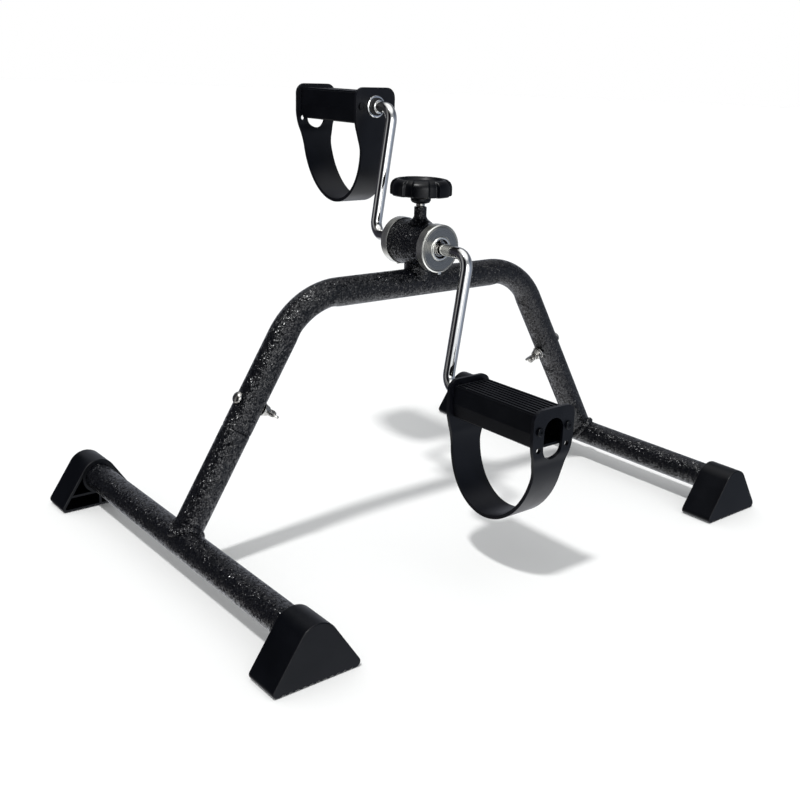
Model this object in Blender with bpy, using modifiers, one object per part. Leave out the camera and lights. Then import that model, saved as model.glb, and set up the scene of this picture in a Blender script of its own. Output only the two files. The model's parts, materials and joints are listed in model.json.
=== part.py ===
"""Pedal exerciser: a bolted frame of round steel tube on four wedge feet, a hub welded on top of its
arch, and a bent rod crank with a strapped pedal at each end. Metres, +Z up. +X runs along the floor
bars and the crank's axis, and +Y along the arch. The origin is on the floor, midway between the feet.
"Near" pieces are on the +X side, "left" pieces on the -Y side."""

import math

import bmesh
import bpy
from mathutils import Matrix, Vector

GAP = 0.0003  # between pieces that touch

# Frame tubes
TUBE_R = 0.0121
TUBE_WALL = 0.0015
BAR_HALF = 0.1885
BAR_Y = 0.2330
BAR_Z = 0.0280
LEG_LEAN = math.radians(31.4)  # from upright
SEAM_AT = 0.0970  # along the leg, from the bar's axis
NECK_LENGTH = 0.0550
NECK_R = TUBE_R - TUBE_WALL - GAP
BOLT_AT = 0.1210
ARCH_TOP_Z = 0.2125
ARCH_BEND_R = 0.0640
WELD_R = 0.0032

# Feet
FOOT_END_X = 0.1920
FOOT_DEPTH = 0.0310
FOOT_HALF_WIDTH = 0.0350
FOOT_CROWN_R = 0.0165
FOOT_CORNER_R = 0.0040
FOOT_WALL = 0.0026
FOOT_WEB = 0.0020
TREAD_GROOVES = 11
TREAD_PITCH = 0.0054
TREAD_R = 0.0014

# Hub
HUB_Z = 0.2455
HUB_R = 0.0195
HUB_HALF = 0.0265
HUB_BORE_R = 0.0165
CAP_R = 0.0204
CAP_FROM_X = 0.0205
CAP_TO_X = 0.0290
CAP_DISC = 0.0022
CAP_BORE_R = 0.0082
CAP_LIP_R = 0.0100
CAP_LIP_HEIGHT = 0.0006
BUSH_FROM_X = 0.0105
SLEEVE_HALF = 0.0095
SLEEVE_R = 0.0100
STEM_R = 0.0125  # stub that carries the hub on the arch
BOSS_R = 0.0054
BOSS_TOP_Z = 0.2775

# Brake screw and knob
SCREW_R = 0.0040
SCREW_TIP_Z = 0.2648
KNOB_FROM_Z = 0.2804
KNOB_BODY_Z = 0.2872
KNOB_TOP_Z = 0.3010
KNOB_R = 0.0265
KNOB_LOBES = 7
KNOB_SCALLOP = 0.0016
KNOB_HUB_R = 0.0087

# Crank
ROD_R = 0.0051
ARM_X = 0.0640
CRANK_RADIUS = 0.1113
CRANK_LEAN = math.radians(9.0)  # of the arms at rest, from upright
ROD_BEND_R = 0.0125
SPINDLE_END_X = 0.1500
SHOULDER_R = 0.0060

# Pedals, in a frame on the spindle's axis at the pedal's middle, with +X outwards
PEDAL_MID_X = 0.1388
HEAD_X = 0.0492  # outer faces of the strap's two heads
STRAP_T = 0.0030
BODY_HALF = HEAD_X - STRAP_T - GAP
BODY_TOP = 0.0130
BODY_CREASE = -0.0030
BODY_BOTTOM = -0.0153
BODY_TOP_HALF = 0.0172
BODY_CREASE_HALF = 0.0180
BODY_BOTTOM_HALF = 0.0166
BODY_WALL = 0.0024
RIBS = 8
RIB_HEIGHT = 0.0013
RIBS_FROM = -0.0408
RIBS_TO = 0.0430
SPINDLE_TUBE_R = 0.0094
SPINDLE_TUBE_TO = 0.0060
BEARING_R = 0.0076
WASHER_RING_R = 0.0098
THRUST_R = 0.0080
PEG_Y = 0.0153
PEG_R = 0.0021
PEG_HEAD_R = 0.0034
PEG_HEAD_T = 0.0016
HEAD_HALF = 0.0220
HEAD_TOP = 0.0166
HEAD_CORNER_R = 0.0090
STRAP_LEG_Z = -0.0210  # where the heads end and the strap starts to lean in
STRAP_BEND_Z = -0.0300
STRAP_BOTTOM = -0.0895
STRAP_BEND_HALF = 0.0484
STRAP_SKEW = -0.0071  # the soft strap's bend hangs a little towards the crank
BAND_HALF = 0.0152
WINDOW_HALF = 0.0103
WINDOW_TOP = 0.0083
WINDOW_BOTTOM = -0.0252
SPARE_HOLE_DROP = 0.0152

# Frame bolts
BOLT_R = 0.0029
BOLT_HOLE_R = 0.0033
BOLT_HEAD_R = 0.0052
BOLT_HEAD_T = 0.0034
BOLT_END = 0.0268
WASHER_T = 0.0012
WASHER_R = 0.0062
NUT_HEIGHT = 0.0052
WING_TURN = {"left": 4.0, "right": 24.0}  # degrees from the floor bar's direction, as left by hand

HALF_TURN = Matrix.Rotation(math.pi, 4, "Z")
TO_X = Matrix.Rotation(math.pi / 2, 4, "Y")  # turns a piece made along +Z so that it runs along +X
SIDES = {"left": Matrix(), "right": HALF_TURN}
ENDS = {"near": Matrix(), "far": HALF_TURN}


def clear_scene():
    for obj in list(bpy.data.objects):
        bpy.data.objects.remove(obj, do_unlink=True)


def new_collection(name):
    made = bpy.data.collections.new(name)
    bpy.context.scene.collection.children.link(made)
    return made


def new_material(name, colour, roughness, metallic):
    made = bpy.data.materials.new(name)
    made.use_nodes = True
    shader = made.node_tree.nodes["Principled BSDF"]
    shader.inputs["Base Color"].default_value = (*colour, 1.0)
    shader.inputs["Roughness"].default_value = roughness
    shader.inputs["Metallic"].default_value = metallic
    return made


clear_scene()
PARTS = new_collection("pedal_exerciser")
CUTTERS = new_collection("cutters")
PAINT = new_material("hammered_black_paint", (0.012, 0.012, 0.015), 0.35, 0.5)
PLASTIC = new_material("black_plastic", (0.010, 0.010, 0.014), 0.42, 0.0)
STRAP_PLASTIC = new_material("black_strap_plastic", (0.014, 0.014, 0.018), 0.5, 0.0)
CHROME = new_material("chrome", (0.80, 0.80, 0.80), 0.06, 1.0)
ZINC = new_material("zinc_plated_steel", (0.62, 0.61, 0.58), 0.28, 1.0)
NYLON = new_material("nylon", (0.05, 0.05, 0.05), 0.55, 0.0)


# Making and joining shapes


def place(obj, name, material, matrix):
    obj.name = name
    obj.matrix_world = matrix
    if material is None:
        CUTTERS.objects.link(obj)
        obj.hide_render = True
        obj.display_type = "WIRE"
    else:
        PARTS.objects.link(obj)
        obj.data.materials.append(material)
    return obj


def smooth(obj):
    obj.data.shade_smooth()
    obj.data.set_sharp_from_angle(angle=math.radians(35))
    return obj


def cylinder(name, radius, low, high, matrix=Matrix(), material=None, segments=32):
    """A cylinder along the matrix's Z, from low to high."""
    bm = bmesh.new()
    bmesh.ops.create_cone(bm, cap_ends=True, segments=segments, radius1=radius, radius2=radius,
                          depth=high - low, matrix=Matrix.Translation((0, 0, (low + high) / 2)))
    return from_bmesh(bm, name, material, matrix)


def box(name, low, high, matrix=Matrix(), material=None):
    bm = bmesh.new()
    size = Vector(high) - Vector(low)
    middle = (Vector(high) + Vector(low)) / 2
    bmesh.ops.create_cube(bm, size=1.0, matrix=Matrix.Translation(middle) @ Matrix.Diagonal((*size, 1)))
    return from_bmesh(bm, name, material, matrix)


def from_bmesh(bm, name, material, matrix):
    mesh = bpy.data.meshes.new(name)
    bm.to_mesh(mesh)
    bm.free()
    return place(bpy.data.objects.new(name, mesh), name, material, matrix)


def turned(name, profile, matrix, material=None, segments=32):
    """A closed ring or a solid, turned about the matrix's Z. The profile is (radius, height) points, which
    run down the outer side. It is closed on itself, unless it starts and ends on the axis."""
    bm = bmesh.new()
    points = [bm.verts.new((radius, 0, height)) for radius, height in profile]
    for first, second in zip(points, points[1:]):
        bm.edges.new((first, second))
    if profile[0][0] > 0:
        bm.edges.new((points[-1], points[0]))
    obj = from_bmesh(bm, name, material, matrix)
    screw = obj.modifiers.new("turn", "SCREW")
    screw.steps = screw.render_steps = segments
    screw.use_merge_vertices = True
    screw.merge_threshold = 0.00001
    screw.use_smooth_shade = True
    return obj


def evaluated_mesh(obj):
    graph = bpy.context.evaluated_depsgraph_get()
    mesh = bpy.data.meshes.new_from_object(obj.evaluated_get(graph))
    bm = bmesh.new()
    bm.from_mesh(mesh)
    bmesh.ops.remove_doubles(bm, verts=bm.verts, dist=0.000001)
    bm.to_mesh(mesh)
    bm.free()
    return mesh


def mesh_of_curve(curve, name, matrix, material):
    """The curve as a mesh object with its caps welded. The curve itself is removed."""
    maker = bpy.data.objects.new(name + "_curve", curve)
    bpy.context.scene.collection.objects.link(maker)
    bpy.context.view_layer.update()
    mesh = evaluated_mesh(maker)
    bpy.data.objects.remove(maker, do_unlink=True)
    mesh.materials.clear()
    return smooth(place(bpy.data.objects.new(name, mesh), name, material, matrix))


def tube(name, points, radius, matrix=Matrix(), material=None, closed=False, bevel=6):
    """A round bar along the points. A bevel of 6 gives 16 sides."""
    curve = bpy.data.curves.new(name, "CURVE")
    curve.dimensions = "3D"
    curve.bevel_depth = radius
    curve.bevel_resolution = bevel
    curve.use_fill_caps = not closed
    spline = curve.splines.new("POLY")
    spline.points.add(len(points) - 1)
    for spline_point, point in zip(spline.points, points):
        spline_point.co = (*point, 1.0)
    spline.use_cyclic_u = closed
    return mesh_of_curve(curve, name, matrix, material)


def plate(name, outline, low, high, matrix=Matrix(), material=None):
    """A flat outline of (x, y) points, given thickness along the matrix's Z from low to high."""
    curve = bpy.data.curves.new(name, "CURVE")
    curve.dimensions = "2D"
    curve.fill_mode = "BOTH"
    curve.extrude = (high - low) / 2
    spline = curve.splines.new("POLY")
    spline.points.add(len(outline) - 1)
    for spline_point, (x, y) in zip(spline.points, outline):
        spline_point.co = (x, y, 0.0, 1.0)
    spline.use_cyclic_u = True
    raised = matrix @ Matrix.Translation((0, 0, (low + high) / 2))
    return mesh_of_curve(curve, name, raised, material)


def combine(obj, other, operation):
    boolean = obj.modifiers.new(operation.lower(), "BOOLEAN")
    boolean.operation = operation
    boolean.solver = "EXACT"
    boolean.object = other
    return obj


def cut(obj, *cutters):
    for cutter in cutters:
        combine(obj, cutter, "DIFFERENCE")
    return obj


def join(obj, *others):
    for other in others:
        combine(obj, other, "UNION")
    return obj


def arc(centre, radius, start, end, steps):
    """Points round a centre from one angle to the other, in degrees."""
    angles = [math.radians(start + (end - start) * i / steps) for i in range(steps + 1)]
    return [(centre[0] + radius * math.cos(a), centre[1] + radius * math.sin(a)) for a in angles]


def moved(obj, empty):
    """Parents a finished piece to the empty on its joint's axis, and leaves it where it is."""
    bpy.context.view_layer.update()
    obj.parent = empty
    obj.matrix_parent_inverse = empty.matrix_world.inverted()
    return obj


def axis_empty(name, matrix):
    empty = bpy.data.objects.new(name, None)
    empty.empty_display_size = 0.02
    PARTS.objects.link(empty)
    empty.matrix_world = matrix
    return empty


# Frame


def leg_matrix(side):
    """Z runs up the leg from the bar's axis, and Y points inwards and down."""
    return side @ Matrix.Translation((0, -BAR_Y, BAR_Z)) @ Matrix.Rotation(-LEG_LEAN, 4, "X")


def arch_points(start):
    """Points along the arch's centreline: up the left leg from that distance, round both bends and down."""
    turn = math.pi / 2 - LEG_LEAN
    bend_y = -(BAR_Y - (ARCH_TOP_Z - BAR_Z) * math.tan(LEG_LEAN)) + ARCH_BEND_R * math.tan(turn / 2)
    leg_end = leg_matrix(Matrix()) @ Vector((0, 0, start))
    bend = arc((bend_y, ARCH_TOP_Z - ARCH_BEND_R), ARCH_BEND_R, 90 + math.degrees(turn), 90, 10)
    left = [(0, leg_end.y, leg_end.z)] + [(0, y, z) for y, z in bend]
    return left + [(0, -y, z) for _, y, z in reversed(left)]


def make_arch():
    arch = tube("arch_tube", arch_points(SEAM_AT + GAP), TUBE_R, material=PAINT)
    cut(arch, tube("arch_hollow", arch_points(SEAM_AT - 0.002), TUBE_R - TUBE_WALL))
    for name, side in SIDES.items():
        across = leg_matrix(side) @ Matrix.Translation((0, 0, BOLT_AT)) @ Matrix.Rotation(math.pi / 2, 4, "X")
        cut(arch, cylinder(f"{name}_arch_bolt_hole", BOLT_HOLE_R, -0.02, 0.02, across, segments=16))


def bar_clearance(name, side):
    """The floor bar's outside with the gap round it, for what is fitted on the bar."""
    along = side @ Matrix.Translation((0, -BAR_Y, BAR_Z)) @ TO_X
    return cylinder(f"{name}_bar_clearance", TUBE_R + GAP, -0.04, 0.04, along)


def make_upright(name, side):
    """The lower leg: a tube, coped onto the bar, whose top is necked down to slide into the arch."""
    inner = TUBE_R - TUBE_WALL
    neck_inner = NECK_R - TUBE_WALL
    shoulder = SEAM_AT - 0.0012
    profile = [(NECK_R, SEAM_AT + NECK_LENGTH), (NECK_R, SEAM_AT), (TUBE_R - 0.0006, SEAM_AT),
               (TUBE_R, shoulder),
               (TUBE_R, 0), (inner, 0), (inner, shoulder - 0.003), (neck_inner, SEAM_AT),
               (neck_inner, SEAM_AT + NECK_LENGTH)]
    upright = turned(f"{name}_upright", profile, leg_matrix(side), PAINT, 24)
    across = leg_matrix(side) @ Matrix.Translation((0, 0, BOLT_AT)) @ Matrix.Rotation(math.pi / 2, 4, "X")
    clearance = bar_clearance(name, side)
    cut(upright, clearance, cylinder(f"{name}_neck_bolt_hole", BOLT_HOLE_R, -0.02, 0.02, across, segments=16))
    make_leg_weld(name, side, clearance)


def make_leg_weld(name, side, clearance):
    """The bead round the foot of the leg, near the line where two tubes of one size meet. The line has a kink
    on each side of the bar, which the bead rounds off."""
    loop = []
    steps = 32
    for i in range(steps):
        angle = 2 * math.pi * i / steps
        across, along = TUBE_R * math.cos(angle), TUBE_R * math.sin(angle)
        loop.append((across, along, math.hypot(across, WELD_R)))
    bead = tube(f"{name}_leg_weld", loop, WELD_R, leg_matrix(side), PAINT, closed=True, bevel=1)
    cut(bead, clearance, cylinder(f"{name}_leg_clearance", TUBE_R + GAP, -0.03, 0.05, leg_matrix(side)))


def make_floor_bar(name, side):
    along = side @ Matrix.Translation((0, -BAR_Y, BAR_Z)) @ TO_X
    inner = TUBE_R - TUBE_WALL
    profile = [(TUBE_R, BAR_HALF), (TUBE_R, -BAR_HALF), (inner, -BAR_HALF), (inner, BAR_HALF)]
    turned(f"{name}_floor_bar", profile, along, PAINT, 24)


# Feet


def foot_outline(inset):
    """The wedge in section, as (y, z): a round crown over the bar, straight flanks and small base corners."""
    crown = FOOT_CROWN_R - inset
    corner = FOOT_CORNER_R - inset
    corner_y = FOOT_HALF_WIDTH - FOOT_CORNER_R
    across = corner_y
    down = BAR_Z - FOOT_CORNER_R
    reach = math.hypot(across, down)
    flank = math.degrees(math.atan2(-down, across) + math.acos((crown - corner) / reach))
    right = arc((corner_y, FOOT_CORNER_R), corner, -90, flank, 6) + arc((0, BAR_Z), crown, flank, 90, 6)
    return right + [(-y, z) for y, z in reversed(right[:-1])]


def make_foot(name, end, side_y):
    """A moulded wedge, closed at its outer end and open inwards, with a socket and webs round the bar."""
    section = Matrix(((0, 0, 1, 0), (1, 0, 0, 0), (0, 1, 0, 0), (0, 0, 0, 1)))  # (y, z) outlines, along X
    here = Matrix.Translation((0, side_y, 0)) @ end @ section
    inner_x = FOOT_END_X - FOOT_DEPTH
    foot = plate(name, foot_outline(0.0), inner_x, FOOT_END_X, here, PLASTIC)
    pocket = plate(f"{name}_pocket", foot_outline(FOOT_WALL), inner_x - 0.002, FOOT_END_X - FOOT_WALL, here)
    level = Matrix.Translation((0, side_y, 0)) @ end
    deep = (inner_x - 0.004, FOOT_END_X)
    along = level @ Matrix.Translation((0, 0, BAR_Z)) @ TO_X
    half_web = FOOT_WEB / 2
    cut(pocket,
        cylinder(f"{name}_socket", TUBE_R + GAP + 0.0024, *deep, along),
        box(f"{name}_upright_web", (deep[0], -half_web, 0), (deep[1], half_web, BAR_Z), level),
        box(f"{name}_level_web", (deep[0], -0.04, 0.0142 - half_web), (deep[1], 0.04, 0.0142 + half_web),
            level))
    bore = cylinder(f"{name}_bore", TUBE_R + GAP, inner_x - 0.006, BAR_HALF + 0.0004, along)
    cut(foot, pocket, bore)
    first = -(TREAD_GROOVES - 1) / 2
    for i in range(TREAD_GROOVES):
        line = level @ Matrix.Translation((0, (first + i) * TREAD_PITCH, 0)) @ TO_X
        cut(foot, cylinder(f"{name}_tread_{i}", TREAD_R, inner_x - 0.001, FOOT_END_X + 0.001, line,
                           segments=6))


# Hub


def make_hub_shell():
    """The stub on the arch, the hub's tube, and the threaded boss on top of it."""
    along = Matrix.Translation((0, 0, HUB_Z)) @ TO_X
    hub_clearance = cylinder("hub_clearance", HUB_R + GAP, -0.04, 0.04, along)
    arch_way = Matrix.Translation((0, 0, ARCH_TOP_Z)) @ Matrix.Rotation(math.pi / 2, 4, "X")
    arch_clearance = cylinder("arch_clearance", TUBE_R + GAP, -0.04, 0.04, arch_way)
    stem = cylinder("hub_stem", STEM_R, ARCH_TOP_Z + 0.001, HUB_Z - 0.006, material=PAINT)
    cut(smooth(stem), hub_clearance, arch_clearance)

    housing = turned("hub_housing", [(HUB_R, HUB_HALF), (HUB_R, -HUB_HALF), (HUB_BORE_R, -HUB_HALF),
                                     (HUB_BORE_R, HUB_HALF)], along, PAINT)
    cut(housing, cylinder("housing_plug_hole", SCREW_R + GAP, HUB_Z, HUB_Z + 0.03, segments=24))

    bore = SCREW_R + GAP
    base = HUB_Z + HUB_R - 0.003
    boss = turned("knob_boss", [(bore, BOSS_TOP_Z), (BOSS_R - 0.0004, BOSS_TOP_Z),
                                (BOSS_R, BOSS_TOP_Z - 0.0004),
                                (BOSS_R, base + 0.0062), (BOSS_R + 0.0012, base + 0.0045),
                                (BOSS_R + 0.0034, base + 0.0022), (BOSS_R + 0.0034, base), (bore, base)],
                  Matrix(), PAINT, 20)
    cut(boss, hub_clearance)


def hub_end(end):
    return end @ Matrix.Translation((0, 0, HUB_Z)) @ TO_X


def make_hub_cap(name, end):
    """A pressed steel cap: a skirt over the hub's end, a disc with a raised lip round its bore, and a small
    key at its lowest point."""
    skirt = HUB_R + GAP
    disc = CAP_TO_X - CAP_DISC
    lip = CAP_TO_X + CAP_LIP_HEIGHT
    profile = [(CAP_BORE_R, lip), (CAP_LIP_R - 0.0005, lip), (CAP_LIP_R, CAP_TO_X),
               (CAP_R - 0.0009, CAP_TO_X),
               (CAP_R, CAP_TO_X - 0.0009), (CAP_R, CAP_FROM_X), (skirt, CAP_FROM_X), (skirt, disc),
               (CAP_BORE_R, disc)]
    cap = turned(f"{name}_hub_cap", profile, hub_end(end), ZINC)
    reach = CAP_R + 0.0014
    join(cap, box(f"{name}_cap_key", (CAP_R - 0.0012, -0.0017, disc + 0.0002),
                  (reach, 0.0017, CAP_TO_X - 0.0004),
                  hub_end(end)))


def make_hub_bush(name, end):
    """A nylon bearing for the crank, pushed into the hub."""
    outer = HUB_BORE_R - GAP
    bore = ROD_R + GAP
    face = HUB_HALF - GAP
    profile = [(bore, face), (outer, face), (outer, BUSH_FROM_X), (bore, BUSH_FROM_X)]
    turned(f"{name}_hub_bush", profile, hub_end(end), NYLON, 32)


def make_retaining_ring(name, end):
    """An open spring ring round the crank, with two pierced ears, that keeps the crank in its bearings."""
    outer, inner = 0.0067, ROD_R + GAP
    opening, ear_turn, ear_at = 20, 31, 0.0064
    low, high = 0.0272, 0.0284
    here = hub_end(end) @ Matrix.Rotation(math.radians(200), 4, "Z")
    outline = arc((0, 0), outer, opening, 360 - opening, 16) + arc((0, 0), inner, 360 - opening, opening, 16)
    ring = plate(f"{name}_retaining_ring", outline, low, high, here, ZINC)
    ears = [here @ Matrix.Rotation(math.radians(turn * ear_turn), 4, "Z") @ Matrix.Translation((ear_at, 0, 0))
            for turn in (-1, 1)]
    join(ring, *[cylinder(f"{name}_ring_ear_{i}", 0.0014, low, high, ear, segments=10)
                 for i, ear in enumerate(ears)])
    cut(ring, cylinder(f"{name}_ring_seat", inner, low - 0.001, high + 0.001, here, segments=24),
        *[cylinder(f"{name}_ring_hole_{i}", 0.0007, low - 0.001, high + 0.001, ear, segments=8)
          for i, ear in enumerate(ears)])


# Brake


def make_brake(knob_empty, plug_empty):
    along = Matrix.Translation((0, 0, HUB_Z)) @ TO_X
    plug = cylinder("brake_plug", SCREW_R, HUB_Z + SLEEVE_R - 0.002, SCREW_TIP_Z - GAP, material=NYLON,
                    segments=24)
    cut(smooth(plug), cylinder("plug_seat", SLEEVE_R + 0.0006, -0.02, 0.02, along, segments=48))
    screw_top = KNOB_BODY_Z + 0.0070
    screw = turned("brake_screw", [(0, screw_top), (SCREW_R - 0.0005, screw_top),
                                   (SCREW_R, screw_top - 0.0005),
                                   (SCREW_R, SCREW_TIP_Z + 0.0008), (SCREW_R - 0.0008, SCREW_TIP_Z),
                                   (0, SCREW_TIP_Z)], Matrix(), ZINC, 24)
    knob = make_knob(screw_top)
    moved(plug, plug_empty)
    moved(screw, knob_empty)
    moved(knob, knob_empty)


def make_knob(screw_top):
    """A round grip with shallow scallops and a dished top, over a short hub that holds the screw."""
    steps = KNOB_LOBES * 8
    outline = []
    for i in range(steps):
        angle = 2 * math.pi * i / steps
        scallop = max(math.cos(KNOB_LOBES * angle), 0.0) ** 3
        radius = KNOB_R - KNOB_SCALLOP * scallop
        outline.append((radius * math.cos(angle), radius * math.sin(angle)))
    knob = plate("brake_knob", outline, KNOB_BODY_Z, KNOB_TOP_Z, Matrix(), PLASTIC)
    # The edge over the lobes is rounded by a turned envelope.
    envelope = turned("knob_envelope", [(0, KNOB_TOP_Z), (KNOB_R - 0.0062, KNOB_TOP_Z),
                                        (KNOB_R - 0.0030, KNOB_TOP_Z - 0.0010),
                                        (KNOB_R - 0.0010, KNOB_TOP_Z - 0.0032),
                                        (KNOB_R + 0.0005, KNOB_TOP_Z - 0.0070),
                                        (KNOB_R + 0.0005, KNOB_BODY_Z - 0.001), (0, KNOB_BODY_Z - 0.001)],
                      Matrix(), None, 32)
    dish = turned("knob_dish", [(0, KNOB_TOP_Z + 0.002), (KNOB_R - 0.0068, KNOB_TOP_Z + 0.002),
                                (KNOB_R - 0.0068, KNOB_TOP_Z - 0.0004), (0.0130, KNOB_TOP_Z - 0.0026),
                                (0, KNOB_TOP_Z - 0.0032)], Matrix(), None, 32)
    combine(knob, envelope, "INTERSECT")
    join(knob, turned("knob_hub", [(0, KNOB_BODY_Z + 0.001), (KNOB_HUB_R, KNOB_BODY_Z + 0.001),
                                   (KNOB_HUB_R, KNOB_FROM_Z + 0.0026),
                                   (KNOB_HUB_R - 0.0012, KNOB_FROM_Z + 0.0008),
                                   (KNOB_HUB_R - 0.0035, KNOB_FROM_Z), (0, KNOB_FROM_Z)], Matrix(), None, 24))
    cut(knob, dish, cylinder("knob_screw_hole", SCREW_R + GAP, KNOB_FROM_Z - 0.001, screw_top + GAP,
                             segments=24))
    return knob


# Crank


def crank_points():
    """The rod's centreline in the crank's own frame: from the near spindle's end, up the near arm, through
    the hub, up the far arm and out along the far spindle. The near arm points down."""
    quarter = [(math.radians(90 * i / 6)) for i in range(7)]
    bend = ROD_BEND_R
    top = [(ARM_X - bend + bend * math.sin(a), 0, -bend + bend * math.cos(a)) for a in quarter]
    low = [(ARM_X + bend - bend * math.cos(a), 0, -CRANK_RADIUS + bend - bend * math.sin(a)) for a in quarter]
    near = top + low + [(SPINDLE_END_X, 0, -CRANK_RADIUS)]
    return [(x, y, z) for x, y, z in reversed(near)] + [(-x, y, -z) for x, y, z in near]


def crank_matrix():
    return Matrix.Translation((0, 0, HUB_Z)) @ Matrix.Rotation(-CRANK_LEAN, 4, "X")


def spindle_matrix(end):
    """On the spindle's axis at the pedal's middle, level and upright, with +X outwards."""
    out = Vector((0, -CRANK_RADIUS * math.sin(CRANK_LEAN), -CRANK_RADIUS * math.cos(CRANK_LEAN)))
    if end == "far":
        out = -out
    return Matrix.Translation((0, out.y, HUB_Z + out.z)) @ ENDS[end] @ Matrix.Translation((PEDAL_MID_X, 0, 0))


def make_crank(crank_empty):
    crank = tube("crank", crank_points(), ROD_R, crank_matrix(), CHROME)
    for end in ENDS:
        shoulder = spindle_matrix(end) @ Matrix.Translation((-HEAD_X - 0.0024 - 3 * GAP, 0, 0)) @ TO_X
        join(crank, turned(f"{end}_shoulder", [(0, 0), (SHOULDER_R - 0.0004, 0), (SHOULDER_R, -0.0004),
                                               (SHOULDER_R, -0.0024), (SHOULDER_R - 0.0004, -0.0028),
                                               (0, -0.0028)],
                           shoulder, None, 24))
    sleeve_bore = ROD_R + GAP
    sleeve = turned("brake_sleeve", [(SLEEVE_R, SLEEVE_HALF), (SLEEVE_R, -SLEEVE_HALF),
                                     (sleeve_bore, -SLEEVE_HALF),
                                     (sleeve_bore, SLEEVE_HALF)], Matrix.Translation((0, 0, HUB_Z)) @ TO_X,
                                     ZINC)
    moved(crank, crank_empty)
    moved(sleeve, crank_empty)
    for end in ENDS:
        nut_x = SPINDLE_TUBE_TO + 0.0008
        bore = ROD_R + GAP
        push_nut = turned(f"{end}_push_nut", [(bore, nut_x + 0.0022), (bore + 0.0012, nut_x + 0.0022),
                                              (0.0085, nut_x + 0.0010), (0.0085, nut_x), (bore, nut_x)],
                          spindle_matrix(end) @ TO_X, ZINC, 24)
        moved(push_nut, crank_empty)


# Pedals


def body_outline(inset, ribs):
    """The pedal's body in section, as (y, z). The ribs stand on its top."""
    top = BODY_TOP - RIB_HEIGHT - inset
    right = [(BODY_BOTTOM_HALF - inset - 0.0012, BODY_BOTTOM + inset),
             (BODY_BOTTOM_HALF - inset, BODY_BOTTOM + inset + 0.0012),
             (BODY_CREASE_HALF - inset, BODY_CREASE - 0.0006),
             (BODY_CREASE_HALF - inset, BODY_CREASE + 0.0006),
             (BODY_TOP_HALF - inset, top)]
    left = [(-y, z) for y, z in reversed(right)]
    if not ribs:
        return right + left
    pitch = 2 * (BODY_TOP_HALF - 0.0006) / (RIBS - 0.45)
    ridge = []
    for i in range(RIBS):
        edge = BODY_TOP_HALF - 0.0006 - i * pitch
        base, crest = (edge, edge - 0.55 * pitch), (edge - 0.08 * pitch, edge - 0.47 * pitch)
        ridge += [(base[0], top), (crest[0], BODY_TOP), (crest[1], BODY_TOP), (base[1], top)]
    return right + ridge + left


def make_pedal_body(name, here, section):
    body = plate(f"{name}_pedal_body", body_outline(0.0, True), -BODY_HALF, BODY_HALF, here @ section,
                 PLASTIC)
    top = BODY_TOP - RIB_HEIGHT
    margins = ((-BODY_HALF - 0.001, RIBS_FROM - 0.0022), (RIBS_FROM - 0.0008, RIBS_FROM),
               (RIBS_TO, BODY_HALF + 0.001))
    for low, high in margins:
        cut(body, box(f"{name}_body_margin_{low:.3f}", (low, -0.03, top), (high, 0.03, top + 0.004), here))
    back = -BODY_HALF + 0.0036
    pocket = plate(f"{name}_body_pocket", body_outline(BODY_WALL, False), back, BODY_HALF + 0.002,
                   here @ section)
    along = here @ TO_X
    # What the pocket leaves standing: the spindle's tube, its webs, and pads behind the pegs.
    cut(pocket,
        cylinder(f"{name}_spindle_tube", SPINDLE_TUBE_R, back - 0.001, SPINDLE_TUBE_TO, along),
        box(f"{name}_body_web", (back - 0.001, -0.0010, -0.02), (SPINDLE_TUBE_TO, 0.0010, 0.02), here))
    for side in (-1, 1):
        y = sorted((side * 0.0120, side * 0.0200))
        cut(pocket, box(f"{name}_peg_pad_{side}", (BODY_HALF - 0.006, y[0], -0.0050),
                        (BODY_HALF + 0.003, y[1], 0.0050), here))
    cut(body, pocket, cylinder(f"{name}_body_bore", BEARING_R + GAP, -BODY_HALF - 0.002,
                               SPINDLE_TUBE_TO + 0.002, along))
    for facing, turn in (("outer", Matrix()), ("inner", HALF_TURN)):
        for side in (-1, 1):
            start, face = BODY_HALF - 0.002, HEAD_X + GAP
            profile = [(0, face + PEG_HEAD_T), (PEG_HEAD_R - 0.0012, face + PEG_HEAD_T),
                       (PEG_HEAD_R, face + 0.0008),
                       (PEG_HEAD_R, face), (PEG_R, face), (PEG_R, start), (0, start)]
            at = here @ turn @ Matrix.Translation((0, side * PEG_Y, 0)) @ TO_X
            join(body, turned(f"{name}_{facing}_peg_{side}", profile, at, None, 16))
    return body


def strap_side():
    """The strap seen along Y, as (x, z) of its outer face: up the inner head, round and up the outer one."""
    def skewed(x, z):
        share = min(max((STRAP_LEG_Z - z) / (STRAP_LEG_Z - STRAP_BOTTOM), 0.0), 1.0)
        return (x + STRAP_SKEW * share, z)

    steps = 26
    depth = STRAP_BEND_Z - STRAP_BOTTOM
    path = [(-HEAD_X, HEAD_TOP), (-HEAD_X, 0.0), (-HEAD_X, STRAP_LEG_Z)]
    for i in range(steps + 1):
        angle = math.pi * i / steps
        path.append((-STRAP_BEND_HALF * math.cos(angle), STRAP_BEND_Z - depth * math.sin(angle)))
    path += [(HEAD_X, STRAP_LEG_Z), (HEAD_X, 0.0), (HEAD_X, HEAD_TOP)]
    return [skewed(x, z) for x, z in path]


def offset_inwards(path, distance):
    """The path moved to its left by a distance, for the inner face of an even wall."""
    moved_path = []
    for i, (x, z) in enumerate(path):
        before, after = path[max(i - 1, 0)], path[min(i + 1, len(path) - 1)]
        along = Vector((after[0] - before[0], after[1] - before[1])).normalized()
        moved_path.append((x - along.y * distance, z + along.x * distance))
    return moved_path


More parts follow.
